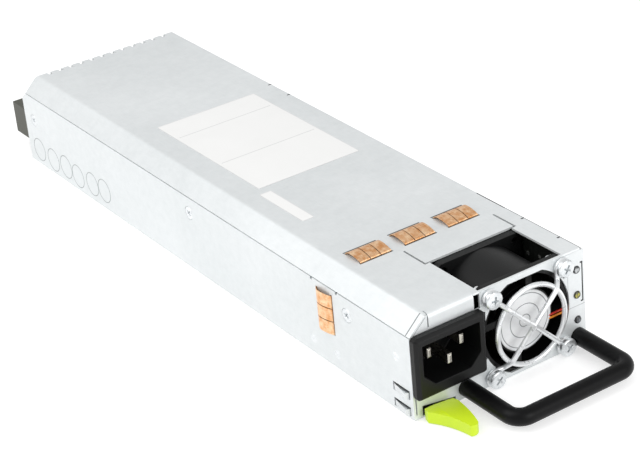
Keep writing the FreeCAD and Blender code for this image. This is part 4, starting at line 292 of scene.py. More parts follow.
def copper_springs(name):
    """Beryllium copper, brighter where it has been rubbed on the crowns."""
    made = Finish(name)
    fine = made.noise(0.5 * MM, 4.0, ALONG_Y)
    patch = made.noise(2.2 * MM, 4.0)
    tone = (fine * 0.35 + patch * 0.8).ramp(0.42, 0.74)
    return made.surface(
        Base_Color=made.mix(tone, colour("DA985E"), colour("FBD9B2")),
        Metallic=0.85,
        Roughness=(patch - 0.5) * 0.3 + 0.36,
        Normal=made.bump(fine, 0.01 * MM))


def handle_coat(name):
    """Black dip coat: an orange-peel skin, a little dust, and polish where hands hold it."""
    made = Finish(name)
    peel = made.noise(1.1 * MM, 2.0)
    dust = made.noise(0.4 * MM, 5.0).ramp(0.62, 0.8)
    worn = made.noise(14.0 * MM, 3.0).ramp(0.45, 0.75)
    coat = made.mix(worn, colour("070708"), colour("101011"))
    return made.surface(
        Base_Color=made.mix(dust * 0.25, coat, colour("303234")),
        Roughness=0.4 - worn * 0.12 + dust * 0.12,
        Specular_IOR_Level=0.15,
        Normal=made.bump(peel, 0.03 * MM))


def wound_wire(name):
    """Enamelled copper laid in turns."""
    made = Finish(name)
    turns = made.node("ShaderNodeTexWave", {"wave_type": "RINGS", "rings_direction": "SPHERICAL"}, {
        "Vector": made.place, "Scale": 320.0, "Distortion": 1.5, "Detail": 1.0}, "Fac")
    drift = made.noise(4.0 * MM, 2.0)
    tone = (turns * 0.6 + drift * 0.5).ramp(0.2, 0.9)
    return made.surface(
        Base_Color=made.mix(tone, colour("6B2E12"), colour("C9793C")),
        Metallic=0.5,
        Roughness=0.42 - turns * 0.14,
        Normal=made.bump(turns, 0.12 * MM))


def printed_board(name, mask, track):
    """Solder mask over tracks, with bright plated pads."""
    made = Finish(name)
    tracks = made.node("ShaderNodeTexBrick", {"offset": 0.37}, {
        "Vector": made.place, "Scale": 160.0, "Mortar Size": 0.09, "Mortar Smooth": 0.1,
        "Brick Width": 0.9, "Row Height": 0.23}, "Fac")
    pads = made.cells(4.2 * MM).ramp(0.2, 0.16)
    weave = made.noise(0.8 * MM, 2.0)
    base = made.mix(tracks, colour(mask), colour(track))
    return made.surface(
        Base_Color=made.mix(pads, base, colour("C9CCC6")),
        Metallic=pads * 0.9,
        Roughness=(weave - 0.5) * 0.12 + 0.4 - pads * 0.12,
        Normal=made.bump(tracks * 0.6 + pads * 0.4, 0.04 * MM))


def lamp(name, node, core, rim, glow):
    """An indicator lens: a tinted middle with a darker patch, and a painted shadow ring in the rim colour
    round it, for the shade in the gap between lens and hole.
    """
    made = Finish(name)
    grain = made.noise(0.7 * MM, 2.0)
    low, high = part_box(node)
    out = made.off_axis(((low.x + high.x) / 2, (low.z + high.z) / 2))
    # Painted shade: the lens darkens to the rim colour near its edge, where the gap round it is in shade.
    edge = out.ramp(0.8 * MM, 1.15 * MM)
    patch = made.noise(1.3 * MM, 1.0).ramp(0.48, 0.58)
    tint = made.mix((edge + patch * 0.7 + grain * 0.1).ramp(0.0, 1.0), colour(core), colour(rim))
    return made.surface(
        Base_Color=tint,
        Roughness=(grain - 0.5) * 0.1 + 0.18,
        Coat_Weight=0.6,
        Emission_Color=tint,
        Emission_Strength=glow,
        Normal=made.bump(grain, 0.03 * MM))


def paper(name, low, high, rules=()):
    """A coated paper label: faint fibre, a greyed cut edge, and thin grey rules along X at the given Y."""
    made = Finish(name)
    fibre = made.noise(0.6 * MM, 4.0)
    cloud = made.noise(20.0 * MM, 2.0)
    x, y = made.axis("X"), made.axis("Y")
    inset = (x - low.x).least(high.x - x).least(y - low.y).least(high.y - y)
    edge = inset.ramp(0.5 * MM, 0.05 * MM)
    ink = edge * 0.35
    for at, first, last in rules:
        bar = abs(y - at).ramp(0.16 * MM, 0.1 * MM)
        ink = ink.most(bar * x.ramp(first, first + 0.2 * MM) * x.ramp(last, last - 0.2 * MM) * 0.55)
    ground = made.mix(fibre * 0.4 + cloud * 0.6, colour("E7E7E6"), colour("F1F1F0"))
    return made.surface(
        Base_Color=made.mix(ink, ground, colour("8E9193")),
        Roughness=(fibre - 0.5) * 0.15 + 0.42,
        Normal=made.bump(fibre, 0.008 * MM))


def foil(name, centre, radius, rings):
    """A silvery foil label with a brushed grain and thin printed rings round a line along Y."""
    made = Finish(name)
    fine = made.noise(0.8 * MM, 4.0)
    cloud = made.noise(6.0 * MM, 2.0)
    out = made.off_axis(centre)
    ink = out.ramp(radius - 0.5 * MM, radius - 0.1 * MM) * 0.3
    for at in rings:
        ink = ink.most(abs(out - at).ramp(0.22 * MM, 0.12 * MM) * 0.8)
    ground = made.mix((fine * 0.4 + cloud * 0.6).ramp(0.3, 0.75), colour("F2F4F5"), colour("FCFCFD"))
    return made.surface(
        Base_Color=made.mix(ink, ground, colour("63676B")),
        Metallic=0.15,
        Roughness=(fine - 0.5) * 0.12 + 0.38,
        Normal=made.bump(fine, 0.006 * MM))


def cover_seam_shade():
    """Painted shade of the cover's open seams and slits: along its right edge, over the inlet, and at the
    ends of the clips.
    """
    seam_in, seam_middle, seam_half = 1.4 * MM, 49.8 * MM, 8.2 * MM
    lap_middle = lap_half = 21.0 * MM
    slit_in, slit_half = 1.8 * MM, 1.0 * MM
    fold_in, fold_back, fold_half = 3.7 * MM, 2.3 * MM, 3.3 * MM
    deep = 1.0 * MM
    marks = [
        (EDGE_X - seam_in, FACE_Y + seam_middle, TOP_Z, 0.4 * MM, seam_half, deep, 0.95),
        (EDGE_X - seam_in, FACE_Y + lap_middle, TOP_Z, 0.25 * MM, lap_half, 1.5 * MM, 0.6)]
    for back in (10.8, 30.8, 184.0, 198.5):
        marks.append((EDGE_X - slit_in, FACE_Y + back * MM, TOP_Z, slit_half, 0.3 * MM, deep, 0.85))
    marks.append((WALL_X + fold_in, FACE_Y + fold_back, TOP_Z - 3.2 * MM,
                  fold_half, 0.16 * MM, fold_half, 0.75))
    for place in ("left", "middle", "right"):
        low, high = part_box("emi_clip_" + place)
        half = (high.x - low.x) / 2 + 0.4 * MM
        for y in (low.y - 0.3 * MM, high.y + 0.8 * MM):
            marks.append(((low.x + high.x) / 2, y, TOP_Z, half, 0.24 * MM, deep, 0.9))
    return marks


def face_print_and_slit_shade():
    """The faint printed border beside the lamps, and painted shade for the open slit at the right corner of
    the face and the ticks at its ends.
    """
    deep = 0.4 * MM
    low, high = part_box("led_middle")
    left, foot, head = low.x - 2.0 * MM, 17.2 * MM, 33.5 * MM
    middle, tall = (foot + head) / 2, (head - foot) / 2
    line, print_tone = 0.08 * MM, 0.35
    slit_in, slit_middle, slit_half = 0.95 * MM, 26.35 * MM, 7.95 * MM
    tick_in, tick_half, slit_shadow_tone = 1.3 * MM, 0.5 * MM, 0.9
    # The border is print; the slit and its end ticks are painted shade.
    marks = [
        (left, FACE_Y, middle, line, deep, tall, print_tone),
        ((left + EDGE_X) / 2, FACE_Y, foot, (EDGE_X - left) / 2, deep, line, print_tone),
        (EDGE_X - slit_in, FACE_Y, slit_middle, 0.22 * MM, deep, slit_half, slit_shadow_tone)]
    for z in (18.6 * MM, 34.1 * MM):
        marks.append((EDGE_X - tick_in, FACE_Y, z, tick_half, deep, 0.25 * MM, slit_shadow_tone))
    return marks


FINISHES = {
    "zinc_steel": zinc_sheet,
    "cover_steel": partial(zinc_sheet, marks=cover_seam_shade()),
    "tray_steel": partial(zinc_sheet, marks=face_print_and_slit_shade()),
    "zinc_screw": partial(
        metal, pale="F6F8F9", dark="C9CED1", roughness=0.3, grain=0.6 * MM,
        depth=0.01 * MM, tarnish=4.0 * MM, bare=0.8),
    "bright_steel": partial(
        metal, pale="ECEEEE", dark="B4B8BA", roughness=0.3, grain=0.5 * MM,
        depth=0.008 * MM, factors=ALONG_Y_LONG),
    "guard_wire": partial(
        metal, pale="FAFBFC", dark="E2E5E7", roughness=0.3, grain=2.0 * MM,
        depth=0.004 * MM, tarnish=12.0 * MM, bare=0.65),
    "pin_plate": partial(
        metal, pale="DAD7CC", dark="96928A", roughness=0.3, grain=0.5 * MM,
        depth=0.008 * MM, factors=ALONG_Y),
    "contact_gold": partial(
        metal, pale="F2D58A", dark="C9A14E", roughness=0.24, grain=0.6 * MM,
        depth=0.008 * MM, factors=ALONG_Y),
    "aluminium": partial(
        metal, pale="D9DBDD", dark="A7ABAF", roughness=0.36, grain=0.7 * MM,
        depth=0.02 * MM, factors=ALONG_Z),
    "copper_strip": copper_springs,
    "winding": wound_wire,
    "handle_black": handle_coat,
    "circuit_board": partial(printed_board, mask="0E4B2C", track="1C6E43"),
    "black_board": partial(printed_board, mask="0A0B0A", track="141614"),
    # The rim colour of each lamp is painted shade round its lens.
    "lamp_clear": partial(lamp, node="led_top", core="C6CACB", rim="2B2E30", glow=0.0),
    "lamp_yellow": partial(lamp, node="led_middle", core="C8C03C", rim="34330F", glow=0.05),
    "lamp_dark": partial(lamp, node="led_bottom", core="6A7078", rim="121416", glow=0.0),
    "black_plastic": partial(
        moulded, pale="131414", dark="09090A", roughness=0.42, grain=0.5 * MM, shine=0.25),
    "magnet": partial(
        moulded, pale="3A3B3E", dark="232428", roughness=0.6, grain=0.4 * MM, depth=0.03 * MM),
    "green_plastic": partial(
        moulded, pale="E0FA2C", dark="CEEE22", roughness=0.4, grain=0.6 * MM, coat=0.15),
    "film": partial(
        moulded, pale="2A2B2D", dark="17181A", roughness=0.2, grain=0.9 * MM, depth=0.01 * MM, coat=0.5),
    "ceramic": partial(
        moulded, pale="ECE6D8", dark="D3CBB8", roughness=0.45, grain=0.6 * MM),
    "yellow_plastic": partial(
        moulded, pale="E5B92B", dark="C79A17", roughness=0.4, grain=0.6 * MM),
    "package": partial(
        moulded, pale="2B2C2E", dark="1A1A1C", roughness=0.55, grain=0.4 * MM),
    "can_sleeve": partial(
        moulded, pale="20242D", dark="12151B", roughness=0.22, grain=1.0 * MM, depth=0.015 * MM, coat=0.4),
    "ferrite": partial(
        moulded, pale="3C3D40", dark="26272A", roughness=0.68, grain=0.5 * MM, depth=0.05 * MM),
    "white_plastic": partial(
        moulded, pale="F1EFE8", dark="DAD7CD", roughness=0.42, grain=0.6 * MM),
    "wire_red": partial(
        moulded, pale="D8301C", dark="A81D10", roughness=0.35, grain=0.6 * MM),
    "wire_yellow": partial(
        moulded, pale="F09A26", dark="D07412", roughness=0.35, grain=0.6 * MM),
    "wire_black": partial(
        moulded, pale="1F1F20", dark="101011", roughness=0.36, grain=0.6 * MM),
    "wire_white": partial(
        moulded, pale="EFEDE6", dark="D2CFC6", roughness=0.36, grain=0.6 * MM),
    "wire_green": partial(
        moulded, pale="2F8C3C", dark="1B6427", roughness=0.36, grain=0.6 * MM),
    "connector_plastic": partial(
        moulded, pale="5A5B52", dark="45463E", roughness=0.46, grain=0.6 * MM, depth=0.03 * MM, shine=0.3),
    "ring_ink": partial(
        moulded, pale="A6ABAD", dark="999EA0", roughness=0.5, grain=0.5 * MM, depth=0.005 * MM),
}
FINISHED = {}


def finish(slot):
    """The material of a record slot, made once."""
    if slot not in FINISHED:
        FINISHED[slot] = FINISHES[slot](slot)
    return FINISHED[slot]


def node_slot(node):
    """The record's material slot of a CAD node."""
    return frame["nodes"][node].data.materials[0].name.split(".")[0]


def paint(*nodes):
    """CAD nodes keep their meshes and get their finish on the object's own slot."""
    for node in nodes:
        made = finish(node_slot(node))
        for holder in frame["nodes"][node].material_slots:
            holder.link = "OBJECT"
            holder.material = made


def linked(name, data):
    """A new object that holds the data, linked to the scene."""
    thing = bpy.data.objects.new(name, data)
    bpy.context.scene.collection.objects.link(thing)
    return thing


def to_mesh(name, work):
    """Turns a work mesh into mesh data and frees it."""
    mesh = bpy.data.meshes.new(name)
    work.to_mesh(mesh)
    work.free()
    return mesh


def baked(thing):
    """Turns an object's evaluated shape into its plain mesh, without modifiers."""
    bpy.context.view_layer.update()
    graph = bpy.context.evaluated_depsgraph_get()
    mesh = bpy.data.meshes.new_from_object(
        thing.evaluated_get(graph), preserve_all_data_layers=True, depsgraph=graph)
    thing.modifiers.clear()
    thing.data = mesh
    return thing


def smoothed(node, angle=32.0, edge=0.0, own=None):
    """Stands for a CAD node: its mesh merged, curved faces shaded smooth, sharp edges broken by edge."""
    slot = node_slot(node)
    mesh = frame["nodes"][node].data.copy()
    work = bmesh.new()
    work.from_mesh(mesh)
    bmesh.ops.remove_doubles(work, verts=work.verts, dist=WELD)
    bmesh.ops.dissolve_degenerate(work, dist=SLIVER, edges=work.edges)
    bmesh.ops.dissolve_limit(work, angle_limit=FLAT, verts=work.verts, edges=work.edges)
    work.to_mesh(mesh)
    work.free()
    mesh.shade_smooth()
    mesh.set_sharp_from_angle(angle=math.radians(angle))
    thing = linked(node + "_finished", mesh)
    mesh.materials.clear()
    mesh.materials.append(finish(own or slot))
    if edge:
        rounding = thing.modifiers.new("broken edge", "BEVEL")
        rounding.width = edge
        rounding.segments = 2
        rounding.angle_limit = math.radians(40)
        rounding.harden_normals = True
    else:
        weighting = thing.modifiers.new("face weights", "WEIGHTED_NORMAL")
        weighting.keep_sharp = True
    baked(thing)
    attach(thing, node_body(node))
    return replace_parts(thing, node)


def lathe(name, outline, steps):
    """A closed turned mesh about Z; the outline runs from pole to pole as (radius, height)."""
    work = bmesh.new()
    rings = []
    for radius, height in outline:
        if radius == 0:
            rings.append([work.verts.new((0, 0, height))] * steps)
        else:
            rings.append([work.verts.new((radius * math.cos(2 * math.pi * i / steps),
                                          radius * math.sin(2 * math.pi * i / steps), height))
                          for i in range(steps)])
    for low, high in zip(rings, rings[1:]):
        for i in range(steps):
            corners = [low[i - 1], low[i], high[i], high[i - 1]]
            work.faces.new(list(dict.fromkeys(corners)))
    bmesh.ops.recalc_face_normals(work, faces=work.faces)
    return to_mesh(name, work)


def cross_cutter(name, top, width, wing, depth):
    """Two crossed tapering wedges, the driver's recess of a cross-head screw."""
    above = 0.4 * MM
    narrow, thin = 0.45, 0.55
    work = bmesh.new()
    for quarter in (0, 1):
        turn = Matrix.Rotation(quarter * math.pi / 2, 4, "Z")
        made = bmesh.ops.create_cube(work, size=1.0)["verts"]
        for corner in made:
            up = corner.co.z > 0
            corner.co = turn @ Vector((
                math.copysign(wing if up else wing * narrow, corner.co.x),
                math.copysign(width if up else width * thin, corner.co.y),
                top + above if up else top - depth))
    return to_mesh(name, work)


def cross_head(name, outline, wing, width, depth):
    """A turned screw with a cross recess in its head, standing along +Z."""
    top = max(height for _, height in outline)
    thing = linked(name, lathe(name, outline, SCREW_STEPS))
    cutter = linked(name + "_cutter", cross_cutter(name + "_cutter", top, width, wing, depth))
    cut = thing.modifiers.new("cross recess", "BOOLEAN")
    cut.operation = "DIFFERENCE"
    cut.solver = "EXACT"
    cut.use_self = True
    cut.object = cutter
    baked(thing)
    bpy.data.objects.remove(cutter)
    thing.data.shade_smooth()
    thing.data.set_sharp_from_angle(angle=math.radians(35))
    return thing


def open_tree(name, *inputs):
    """A geometry tree with named inputs: its graph, and the terms of its inputs by name."""
    tree = bpy.data.node_groups.new(name, "GeometryNodeTree")
    tree.is_modifier = True
    tree.interface.new_socket("Geometry", in_out="OUTPUT", socket_type="NodeSocketGeometry")
    for label, kind in (("Geometry", "Geometry"), *inputs, ("Finish", "Material")):
        tree.interface.new_socket(label, in_out="INPUT", socket_type="NodeSocket" + kind)
    graph = Graph(tree)
    entry = tree.nodes.new("NodeGroupInput")
    return graph, {socket.name: Term(graph, socket) for socket in entry.outputs if socket.name}


def close_tree(graph, given, instances):
    """Ends a tree: the instances made real and given the finish."""
    real = graph.node("GeometryNodeRealizeInstances", None, {"Geometry": instances})
    coated = graph.node("GeometryNodeSetMaterial", None, {"Geometry": real, "Material": given["Finish"]})
    graph.node("NodeGroupOutput", None, {"Geometry": coated})
    return graph.tree


def scatter_tree():
    """Geometry Nodes: a part on every point, faced one way, each turned at random about its own axis."""
    graph, given = open_tree(
        "scatter", ("Part", "Object"), ("Facing", "Vector"), ("Turn", "Float"), ("Seed", "Int"))
    part = graph.node(
        "GeometryNodeObjectInfo", {"transform_space": "ORIGINAL"}, {"Object": given["Part"]}, "Geometry")
    placed = graph.node("GeometryNodeInstanceOnPoints", None, {
        "Points": given["Geometry"], "Instance": part, "Rotation": given["Facing"]})
    spread = graph.node("FunctionNodeRandomValue", {"data_type": "FLOAT"}, {"Seed": given["Seed"]}, 1)
    angle = graph.node("ShaderNodeCombineXYZ", None, {"Z": spread * given["Turn"]})
    turned = graph.node("GeometryNodeRotateInstances", None, {
        "Instances": placed, "Rotation": angle, "Local Space": True})
    return close_tree(graph, given, turned)


def ring_tree():
    """Geometry Nodes: a flat printed ring on every point of a wall that faces -X."""
    graph, given = open_tree("printed rings", ("Radius", "Float"), ("Line", "Float"), ("Relief", "Float"))
    loop = graph.node("GeometryNodeCurvePrimitiveCircle", None, {"Resolution": 64, "Radius": given["Radius"]})
    section = graph.node("GeometryNodeCurvePrimitiveQuadrilateral", None, {
        "Width": given["Line"], "Height": given["Relief"]})
    ring = graph.node("GeometryNodeCurveToMesh", None, {"Curve": loop, "Profile Curve": section})
    placed = graph.node("GeometryNodeInstanceOnPoints", None, {
        "Points": given["Geometry"], "Instance": ring, "Rotation": (0.0, -math.pi / 2, 0.0)})
    return close_tree(graph, given, placed)


def with_tree(name, spots, tree, **values):
    """Runs a geometry tree on points and returns the object that holds its plain result."""
    points = bpy.data.meshes.new(name + "_points")
    points.from_pydata(spots, [], [])
    thing = linked(name, points)
    run = thing.modifiers.new("tree", "NODES")
    run.node_group = tree
    for item in tree.interface.items_tree:
        key = item.name.lower()
        if item.in_out == "INPUT" and key in values:
            run[item.identifier] = values[key]
    return baked(thing)


def scattered(name, part, spots, facing, slot, turn, seed):
    """The part at every spot as one plain mesh piece; facing is an Euler turn of its +Z."""
    tree = bpy.data.node_groups.get("scatter") or scatter_tree()
    thing = with_tree(name, spots, tree, part=part, facing=facing, turn=turn, seed=seed, finish=finish(slot))
    bpy.data.objects.remove(part)
    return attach(thing, ROOT)


def card(name, low, high, corner):
    """A thin rounded card, flat in Z, between two corners."""
    steps = 6
    work = bmesh.new()
    rim = []
    for cx, cy, start in ((high.x - corner, high.y - corner, 0), (low.x + corner, high.y - corner, 1),
                          (low.x + corner, low.y + corner, 2), (high.x - corner, low.y + corner, 3)):
        for i in range(steps + 1):
            a = (start + i / steps) * math.pi / 2
            rim.append(work.verts.new((cx + corner * math.cos(a), cy + corner * math.sin(a), low.z)))
    base = work.faces.new(rim)
    raised = bmesh.ops.extrude_face_region(work, geom=[base])["geom"]
    for upper in (v for v in raised if isinstance(v, bmesh.types.BMVert)):
        upper.co.z = high.z
    bmesh.ops.recalc_face_normals(work, faces=work.faces)
    return to_mesh(name, work)


def pan_outline(sizes, shank):
    """Outline of a pan head screw from the end of its shank to the hollow of its domed head."""
    radius, rise, edge = sizes.pan_radius, sizes.pan_rise, sizes.pan_edge
    brow = 0.75 * MM
    foot = 0.1 * MM
    outline = [(0, -shank), (sizes.shank, -shank), (sizes.shank, 0), (radius - foot, 0), (radius, foot)]
    for degrees in range(0, 91, 15):
        a = math.radians(degrees)
        outline.append((radius - edge * (1 - math.cos(a)), rise - edge + brow * math.sin(a)))
    dome = edge - brow
    shoulder = 0.74
    for share in (0.6, 0.45, 0.3, 0.15):
        outline.append((radius * share, rise - dome * (share / shoulder) ** 2))
    return outline + [(0, rise)]


def flat_outline(sizes, shank):
    """Outline of a flush screw from the end of its shank to the top of its flat head."""
    radius, sink = sizes.flat_radius, sizes.flat_sink
    edge = 0.12 * MM
    return [(0, -shank), (sizes.shank, -shank), (sizes.shank, 0), (radius, 0), (radius, sink - edge),
            (radius - edge, sink), (radius * 0.6, sink), (0, sink)]


def length(name, about, value):
    """A length property in metres."""
    return bpy.props.FloatProperty(
        name=name, description=about, default=value, subtype="DISTANCE", unit="LENGTH", precision=4)


def position(name, about, value):
    """A position property in metres."""
    return bpy.props.FloatVectorProperty(
        name=name, description=about, default=value, subtype="TRANSLATION", unit="LENGTH", precision=4)


class SupplyLabels(bpy.types.PropertyGroup):
    """Sizes of the bare labels and the printed rings."""

    thick: length("Label thickness", "Paper and glue together", 0.12 * MM)
    main_left: length("Main label left", "Left edge of the large label", -20.9 * MM)
    main_width: length("Main label width", "Across the case", 47.4 * MM)
    main_front: length("Main label front", "Front edge of the large label", -22.65 * MM)
    main_length: length("Main label length", "Along the case", 77.0 * MM)
    strip_left: length("Strip left", "Left edge of the narrow label", -23.5 * MM)
    strip_width: length("Strip width", "Across the case", 5.4 * MM)
    strip_front: length("Strip front", "Front edge of the narrow label", -56.55 * MM)
    strip_length: length("Strip length", "Along the case", 29.7 * MM)
    corner: length("Corner radius", "Rounding of the label corners", 1.0 * MM)
    margin: length("Rule margin", "Side of the label to the printed rules", 1.6 * MM)
    motor_radius: length("Motor label radius", "Round label on the fan motor", 11.6 * MM)
    motor_back: length("Motor label back", "Front of the fan frame to the motor plate", 0.4 * MM)
    ring_radius: length("Ring radius", "Middle of the printed ring's line", 5.2 * MM)
    ring_line: length("Ring line", "Width of the printed line", 0.3 * MM)
    ring_relief: length("Ring relief", "Thickness of the printed line", 0.06 * MM)


class SupplyScrews(bpy.types.PropertyGroup):
    """Sizes of the screws and of their cross recesses."""

    shank: length("Shank radius", "Fan screws and cover screws", 1.5 * MM)
    pan_radius: length("Pan head radius", "Fan screws", 3.5 * MM)
    pan_rise: length("Pan head height", "Fan screws", 1.9 * MM)
    pan_edge: length("Pan head edge", "Rounding of the head, fan screws", 0.9 * MM)
    flat_radius: length("Flat head radius", "Cover screws", 2.7 * MM)
    flat_sink: length("Flat head height", "Cover screws", 0.45 * MM)
    flat_pitch: length("Cover screw pitch", "First to second cover screw", 107.0 * MM)
    pan_wing: length("Pan recess reach", "From the middle to the end of a wing, fan screws", 2.0 * MM)
    flat_wing: length("Flat recess reach", "From the middle to the end of a wing, cover screws", 1.5 * MM)
    pan_slot: length("Pan recess half width", "Half the width of a wing, fan screws", 0.42 * MM)
    flat_slot: length("Flat recess half width", "Half the width of a wing, cover screws", 0.336 * MM)
    pan_depth: length("Pan recess depth", "Below the top of the head, fan screws", 1.3 * MM)
    flat_depth: length("Flat recess depth", "Below the top of the head, cover screws", 0.91 * MM)


class SupplyStage(bpy.types.PropertyGroup):
    """Camera and light of the studio."""

    azimuth: bpy.props.FloatProperty(
        name="Camera azimuth", description="Round the case, from its face", default=math.radians(-31.81),
        subtype="ANGLE", unit="ROTATION")
    elevation: bpy.props.FloatProperty(
        name="Camera elevation", description="Above the floor", default=math.radians(27.96),
        subtype="ANGLE", unit="ROTATION")
    roll: bpy.props.FloatProperty(
        name="Camera roll", description="About its own axis", default=math.radians(-5.66),
        subtype="ANGLE", unit="ROTATION")
    lens: bpy.props.FloatProperty(
        name="Focal length", description="In millimetres, on a 36 mm sensor", default=113.54, subtype="NONE")
    shift: position("Subject in view", "Case corner from the camera: right, up, away",
                    (32.53 * MM, -63.67 * MM, 690.28 * MM))
    world: bpy.props.FloatProperty(
        name="Room light", description="Strength of the even light from all round", default=0.7,
        subtype="FACTOR")
    glow: bpy.props.FloatProperty(
        name="Floor glow", description="What the camera and reflections see beside the floor's own shade",
        default=0.55, subtype="FACTOR")
    key: bpy.props.FloatProperty(
        name="Key lamp", description="Watts", default=3.3, subtype="NONE")
    key_size: length("Key lamp size", "Side of the square", 0.7)
    key_place: position("Key lamp place", "Left of the case and above it", (-0.5, 0.1, 0.65))
    fill: bpy.props.FloatProperty(
        name="Face lamp", description="Watts", default=2.6, subtype="NONE")
    fill_size: length("Face lamp size", "Side of the square", 0.5)
    fill_place: position("Face lamp place", "In front of the face", (0.15, -0.85, 0.35))
    fill_aim: position("Face lamp aim", "Middle of the face, from the middle of its foot", (0.0, 0.0, 0.02))
    floor_size: length("Floor size", "From its middle to its side", 3.0)
    floor_gap: length("Floor gap", "Under the case", 0.05 * MM)


class SUPPLY_OT_sheet_metal(bpy.types.Operator):
    """Finish the folded tray and cover"""

    bl_idname = "supply.sheet_metal"
    bl_label = "Sheet metal"

    def execute(self, context):
        smoothed("chassis_tray", angle=30.0, own="tray_steel")
        smoothed("top_cover", angle=30.0, own="cover_steel")
        smoothed("face_rivet")
        smoothed("latch_rivets")
        return {"FINISHED"}


class SUPPLY_OT_clips(bpy.types.Operator):
    """Finish the copper spring clips"""

    bl_idname = "supply.clips"
    bl_label = "Spring clips"

    def execute(self, context):
        for place in ("left", "middle", "right", "side"):
            smoothed("emi_clip_" + place)
        return {"FINISHED"}


class SUPPLY_OT_screws(bpy.types.Operator):
    """Make the fan screws and cover screws with cross recesses"""

    bl_idname = "supply.screws"
    bl_label = "Screws"

    def execute(self, context):
        sizes = context.scene.supply_screws
        low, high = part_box("fan_screws")
        radius, seat = sizes.pan_radius, low.y + sizes.pan_rise
        outline = pan_outline(sizes, high.y - seat)
        head = cross_head("pan_screw", outline, sizes.pan_wing, sizes.pan_slot, sizes.pan_depth)
        spots = [(x, seat, z) for x in (low.x + radius, high.x - radius)
                 for z in (low.z + radius, high.z - radius)]
        facing = (math.pi / 2, 0.0, 0.0)
        made = scattered("fan_screw_set", head, spots, facing, "zinc_screw", turn=1.4, seed=5)
        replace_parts(made, "fan_screws")
        low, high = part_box("cover_screws")
        radius, seat = sizes.flat_radius, low.x + sizes.flat_sink
        outline = flat_outline(sizes, high.x - seat)
        head = cross_head("flat_screw", outline, sizes.flat_wing, sizes.flat_slot, sizes.flat_depth)
        first, last = low.y + radius, high.y - radius
        spots = [(seat, first, high.z - radius), (seat, first + sizes.flat_pitch, high.z - radius),
                 (seat, last, low.z + radius)]
        facing = (0.0, -math.pi / 2, 0.0)
        made = scattered("cover_screw_set", head, spots, facing, "zinc_screw", turn=1.2, seed=3)
        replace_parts(made, "cover_screws")
        return {"FINISHED"}


class SUPPLY_OT_inlet(bpy.types.Operator):
    """Finish the mains inlet and its pins"""

    bl_idname = "supply.inlet"
    bl_label = "Mains inlet"

    def execute(self, context):
        smoothed("inlet_housing", angle=28.0, edge=0.25 * MM)
        for pin in ("line", "neutral", "earth"):
            smoothed("inlet_%s_pin" % pin, angle=28.0, edge=0.2 * MM)
        return {"FINISHED"}


class SUPPLY_OT_fan(bpy.types.Operator):
    """Finish the fan, its guard and its round label"""

    bl_idname = "supply.fan"
    bl_label = "Fan"

    def execute(self, context):
        smoothed("fan_frame", angle=30.0)
        smoothed("fan_guard", angle=50.0)
        smoothed("fan_rotor", angle=35.0)
        paint("fan_magnet", "fan_shaft", "fan_bearings", "fan_stator", "fan_circuit_board")
        sizes = context.scene.supply_labels
        low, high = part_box("fan_frame")
        x, z = (low.x + high.x) / 2, (low.z + high.z) / 2
        radius, thick = sizes.motor_radius, sizes.thick
        disc = lathe("motor_label", [(0, 0), (radius, 0), (radius, thick), (0, thick)], DISC_STEPS)
        place = Matrix.Translation((x, low.y + sizes.motor_back, z))
        disc.transform(place @ Matrix.Rotation(math.pi / 2, 4, "X"))
        rings = [radius * share for share in (0.9, 0.56, 0.2)]
        disc.materials.append(foil("motor_foil", (x, z), radius, rings))
        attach(linked("motor_label", disc), ROOT)
        return {"FINISHED"}


class SUPPLY_OT_handle(bpy.types.Operator):
    """Finish the pull handle"""

    bl_idname = "supply.handle"
    bl_label = "Handle"

    def execute(self, context):
        smoothed("handle", angle=40.0)
        return {"FINISHED"}


class SUPPLY_OT_latch(bpy.types.Operator):
    """Finish the release latch and its green tab"""

    bl_idname = "supply.latch"
    bl_label = "Latch"

    def execute(self, context):
        smoothed("latch_tab", angle=28.0, edge=0.35 * MM)
        smoothed("latch_plate", angle=28.0)
        smoothed("latch_spring", angle=28.0)
        return {"FINISHED"}


class SUPPLY_OT_lamps(bpy.types.Operator):
    """Finish the three status lamps"""

    bl_idname = "supply.lamps"
    bl_label = "Lamps"

    def execute(self, context):
        for place in ("top", "middle", "bottom"):
            smoothed("led_" + place, angle=35.0)
        paint("led_board")
        return {"FINISHED"}


class SUPPLY_OT_electronics(bpy.types.Operator):
    """Finish the boards, parts and wires inside the case"""

    bl_idname = "supply.electronics"
    bl_label = "Electronics"

    def execute(self, context):
        paint("main_board", "board_standoffs", "board_screws", "insulating_sheet", "fuse", "x_capacitor",
              "emi_choke", "pfc_choke", "bulk_capacitor", "primary_heat_sink", "secondary_heat_sink",
              "power_transistors", "bridge_rectifier", "output_rectifiers", "transformer_core",
              "transformer_winding", "output_capacitors", "fan_plug", "fan_wire_red", "fan_wire_yellow",
              "inlet_line_wire", "inlet_earth_wire", "inlet_neutral_wire")
        return {"FINISHED"}


class SUPPLY_OT_connector(bpy.types.Operator):
    """Finish the rear output connector"""

    bl_idname = "supply.connector"
    bl_label = "Output connector"

    def execute(self, context):
        smoothed("output_connector", angle=28.0, edge=0.2 * MM)
        paint("output_power_contacts", "output_signal_pins")
        return {"FINISHED"}


